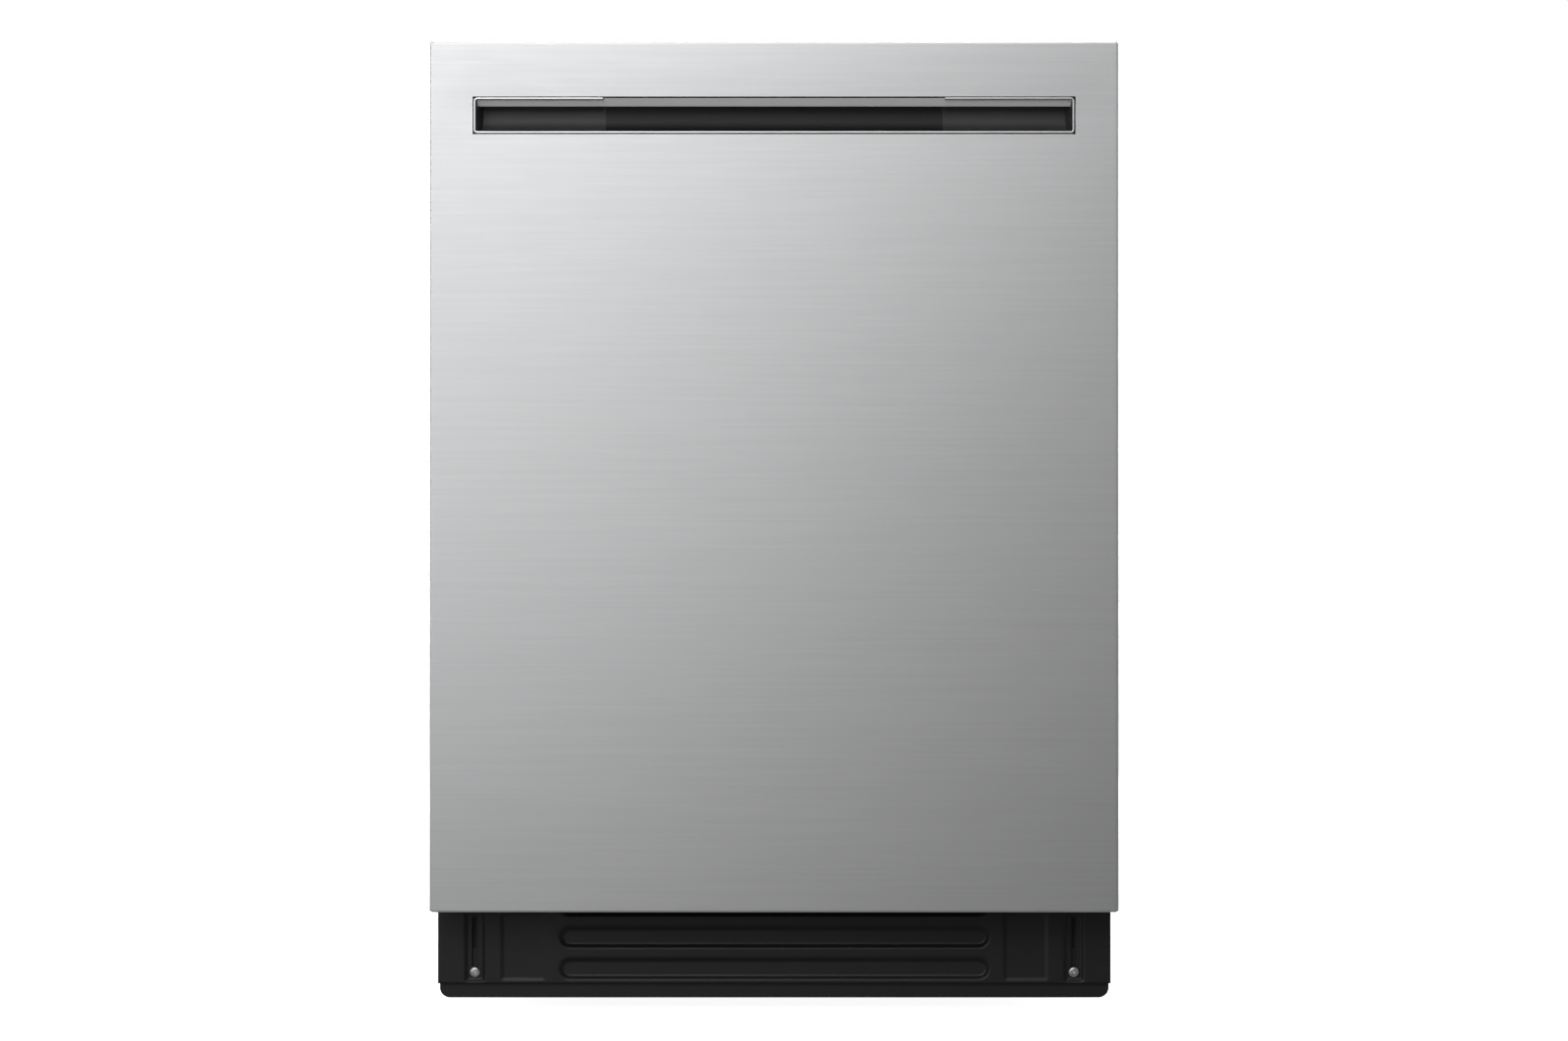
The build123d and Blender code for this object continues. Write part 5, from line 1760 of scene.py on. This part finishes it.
@dataclass
class Fittings:
    """Small repeated things: screws, ribs, fins and the vent's slats."""

    vent: Pair = (190.0, 690.0)
    vent_reach: float = 24.0
    vent_pitch: float = 5.2

    def post_screws(self) -> None:
        """Flat screw heads up both posts."""
        rings = [(4.6, 0.0), (4.6, 0.5), (3.4, 0.7), (3.3, 1.7), (2.9, 2.0), (0.0, 2.0)]
        parts = []
        for side in (-1, 1):
            head = turned("head", rings, (0, 0, 0), (side, 0, 0), 24)
            parts.append(row(head, SCREW_ZINC, 5, (side * 298.5, -230, 215), (0, 0, 140)))
        dress(joined("post_screws", parts), SCREW_ZINC, "cabinet")

    def base_ribs(self) -> None:
        """Upright ribs down both sides of the base."""
        parts = []
        for side in (-1, 1):
            xs = tuple(sorted((side * 275.4, side * 278.4)))
            rib = slab("rib", xs, (-1.4, 1.4), (26, 112), 0.7, 2)
            parts.append(row(rib, BASE_PLASTIC, 11, (0, -40, 0), (0, 33, 0)))
        dress(joined("base_ribs", parts), BASE_PLASTIC, "cabinet")

    def pump_fins(self) -> None:
        """Cooling fins round the circulation pump."""
        fin = slab("fin", (34.5, 37.6), (-1.0, 1.0), (-38, 38), 0.5, 1)
        place = (0.1685, 0.003, 0.064)
        fins = ring_tree().grow(fin, PUMP_PLASTIC, Count=24, Place=place, Turn=(0.0, math.pi / 2, 0.0))
        dress(joined("pump_fins", [fins]), PUMP_PLASTIC, "cabinet")

    def vent_grille(self) -> None:
        """Slats across the door's vent, with a raised ring round them."""
        parts = []
        x, z = self.vent
        for n in range(-4, 5):
            up = n * self.vent_pitch
            half = math.sqrt(self.vent_reach**2 - up**2)
            span, rise = (x - half, x + half), (z + up - 1.1, z + up + 1.1)
            parts.append(slab("slat", span, (-268.2, -264.6), rise, 0.6, 1))
        rings = [
            (24.0, 0.0), (30.0, 0.0), (32.0, 0.8), (31.0, 2.4), (27.0, 3.8), (24.8, 3.4), (24.0, 2.0),
            (24.0, 0.0),
        ]
        parts.append(turned("ring", rings, (x, -268.4, z), (0, 1, 0), 56))
        dress(joined("vent_grille", parts), PANEL_BLACK, "door")

    def build(self) -> None:
        """Makes all the fittings."""
        self.post_screws()
        self.base_ribs()
        self.pump_fins()
        self.vent_grille()


# --------------------------------------------------------------------- studio
@dataclass(frozen=True)
class Softbox:
    """A soft lamp: where it is, what it looks at, its size and its power."""

    name: str
    place: Point
    aim: Point
    size: float
    power: float

    def hang(self) -> bpy.types.Object:
        """Puts the lamp up, unseen by the camera."""
        light = bpy.data.lights.new(self.name, "AREA")
        light.shape = "SQUARE"
        light.size = self.size
        light.energy = self.power
        lamp = bpy.data.objects.new(self.name, light)
        bpy.context.scene.collection.objects.link(lamp)
        lamp.location = self.place
        lamp.rotation_mode = "QUATERNION"
        lamp.rotation_quaternion = (Vector(self.aim) - Vector(self.place)).to_track_quat("-Z", "Y")
        lamp.visible_camera = False
        return lamp


SOFTBOXES = (
    Softbox("left_near", (-0.95, -2.9, 1.0), (0.0, -0.3, 0.5), 1.9, 14.5),
    Softbox("front_high", (-0.4, -3.0, 2.1), (0.0, -0.3, 0.55), 1.8, 22),
    Softbox("overhead", (0.0, -0.1, 2.8), (0.0, 0.0, 0.8), 1.8, 30),
    Softbox("left_side", (-3.0, 0.5, 1.2), (0.0, 0.0, 0.4), 1.6, 75),
    Softbox("right_side", (3.0, 0.5, 1.2), (0.0, 0.0, 0.4), 1.6, 65),
    Softbox("rear", (0.6, 3.2, 1.4), (0.0, 0.2, 0.4), 2.0, 90),
)


@dataclass
class Studio:
    """A pale floor, a white surround, soft lamps and the camera."""

    eye: Point = (0.0086, -4.3125, 0.4334)
    lens: float = 105.1
    sensor: float = 36.0
    surround: float = 0.3
    floor_size: float = 40.0

    def camera(self) -> None:
        """A level camera in front of the door."""
        data = bpy.data.cameras.new("camera")
        data.lens, data.sensor_width = self.lens, self.sensor
        data.clip_end = 200
        camera = bpy.data.objects.new("camera", data)
        camera.location = self.eye
        camera.rotation_euler = (math.pi / 2, 0, 0)
        bpy.context.scene.collection.objects.link(camera)
        bpy.context.scene.camera = camera

    def world(self) -> None:
        """Seen straight, the surround is white; it lights things with soft grey."""
        world = bpy.data.worlds.new("surround")
        bpy.context.scene.world = world
        world.use_nodes = True
        nodes, links = world.node_tree.nodes, world.node_tree.links
        nodes.clear()
        path = nodes.new("ShaderNodeLightPath")
        white, grey = nodes.new("ShaderNodeBackground"), nodes.new("ShaderNodeBackground")
        white.inputs["Strength"].default_value = 1.0
        white.inputs["Color"].default_value = (1, 1, 1, 1)
        grey.inputs["Strength"].default_value = self.surround
        where = nodes.new("ShaderNodeTexCoord").outputs["Generated"]
        axes = nodes.new("ShaderNodeSeparateXYZ")
        links.new(where, axes.inputs["Vector"])
        ramp = nodes.new("ShaderNodeMapRange")
        ramp.inputs["From Min"].default_value = -0.9
        ramp.inputs["From Max"].default_value = 0.3
        ramp.inputs["To Min"].default_value = 0.35
        ramp.inputs["To Max"].default_value = 1.0
        links.new(axes.outputs["Y"], ramp.inputs["Value"])
        links.new(ramp.outputs["Result"], grey.inputs["Color"])
        mix, out = nodes.new("ShaderNodeMixShader"), nodes.new("ShaderNodeOutputWorld")
        links.new(path.outputs["Is Camera Ray"], mix.inputs[0])
        links.new(grey.outputs[0], mix.inputs[1])
        links.new(white.outputs[0], mix.inputs[2])
        links.new(mix.outputs[0], out.inputs["Surface"])

    def floor(self) -> None:
        """A white floor that takes a faint shadow and throws no light back."""
        bm = bmesh.new()
        bmesh.ops.create_grid(bm, x_segments=1, y_segments=1, size=self.floor_size / 2)
        floor = from_bmesh("floor", bm)
        made = bpy.data.materials.new("floor")
        made.use_nodes = True
        shader = made.node_tree.nodes["Principled BSDF"]
        shader.inputs["Base Color"].default_value = (0.8, 0.8, 0.8, 1)
        shader.inputs["Roughness"].default_value = 0.9
        shader.inputs["Emission Color"].default_value = (1, 1, 1, 1)
        shader.inputs["Emission Strength"].default_value = 0.93
        floor.data.materials.append(made)
        floor.visible_diffuse = False
        floor.visible_glossy = False

    def build(self) -> None:
        """Sets up everything round the object."""
        bpy.context.scene.view_settings.view_transform = "Standard"
        self.camera()
        self.world()
        self.floor()
        for softbox in SOFTBOXES:
            softbox.hang()


def plain_nodes() -> None:
    """Finishes every CAD node whose shape stays, and which nothing stands for."""
    for node in frame["nodes"]:
        if not frame["nodes"][node].hide_render:
            finish_node(node)


def main() -> None:
    """Builds the sub-assemblies in order, and writes how large they came out."""
    logging.basicConfig(level=logging.INFO, format="%(message)s")
    Studio().build()
    feet = tuple(
        (node, tuple(sum(end[axis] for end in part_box(node)) / 2 / MM for axis in (0, 1)))
        for node in frame["nodes"]
        if node.startswith("foot_")
    )
    assemblies = (
        DoorFront(),
        ToeKick(),
        SoundBlanket(),
        LowerRack("lower_rack", "lower_rack", "lower_rack_basket", 250, -238, 228, 166, 300),
        UpperRack("upper_rack", "upper_rack", "upper_rack_basket", 246, -238, 226, 482, 618),
        RackWheels(),
        CutleryBasket(),
        SprayArm("lower_spray_arm", "lower_arm", 126, LOWER_BLADES, 26, 18, (112, 138.5), 133.5, False),
        SprayArm("middle_spray_arm", "middle_arm", 448, MIDDLE_BLADES, 22, 12, (445, 460.5), 447.5, True),
        SprayArm("top_spray_arm", "top_arm", 778, TOP_BLADES, 20, 10, (773, 789.5), 775.5, True, True),
        FilterPlate(),
        DoorSprings(),
        TubBack(),
        Gasket(),
        Feet(feet),
        Fittings(),
    )
    for assembly in assemblies:
        assembly.build()
    plain_nodes()


if __name__ == "__main__":
    main()
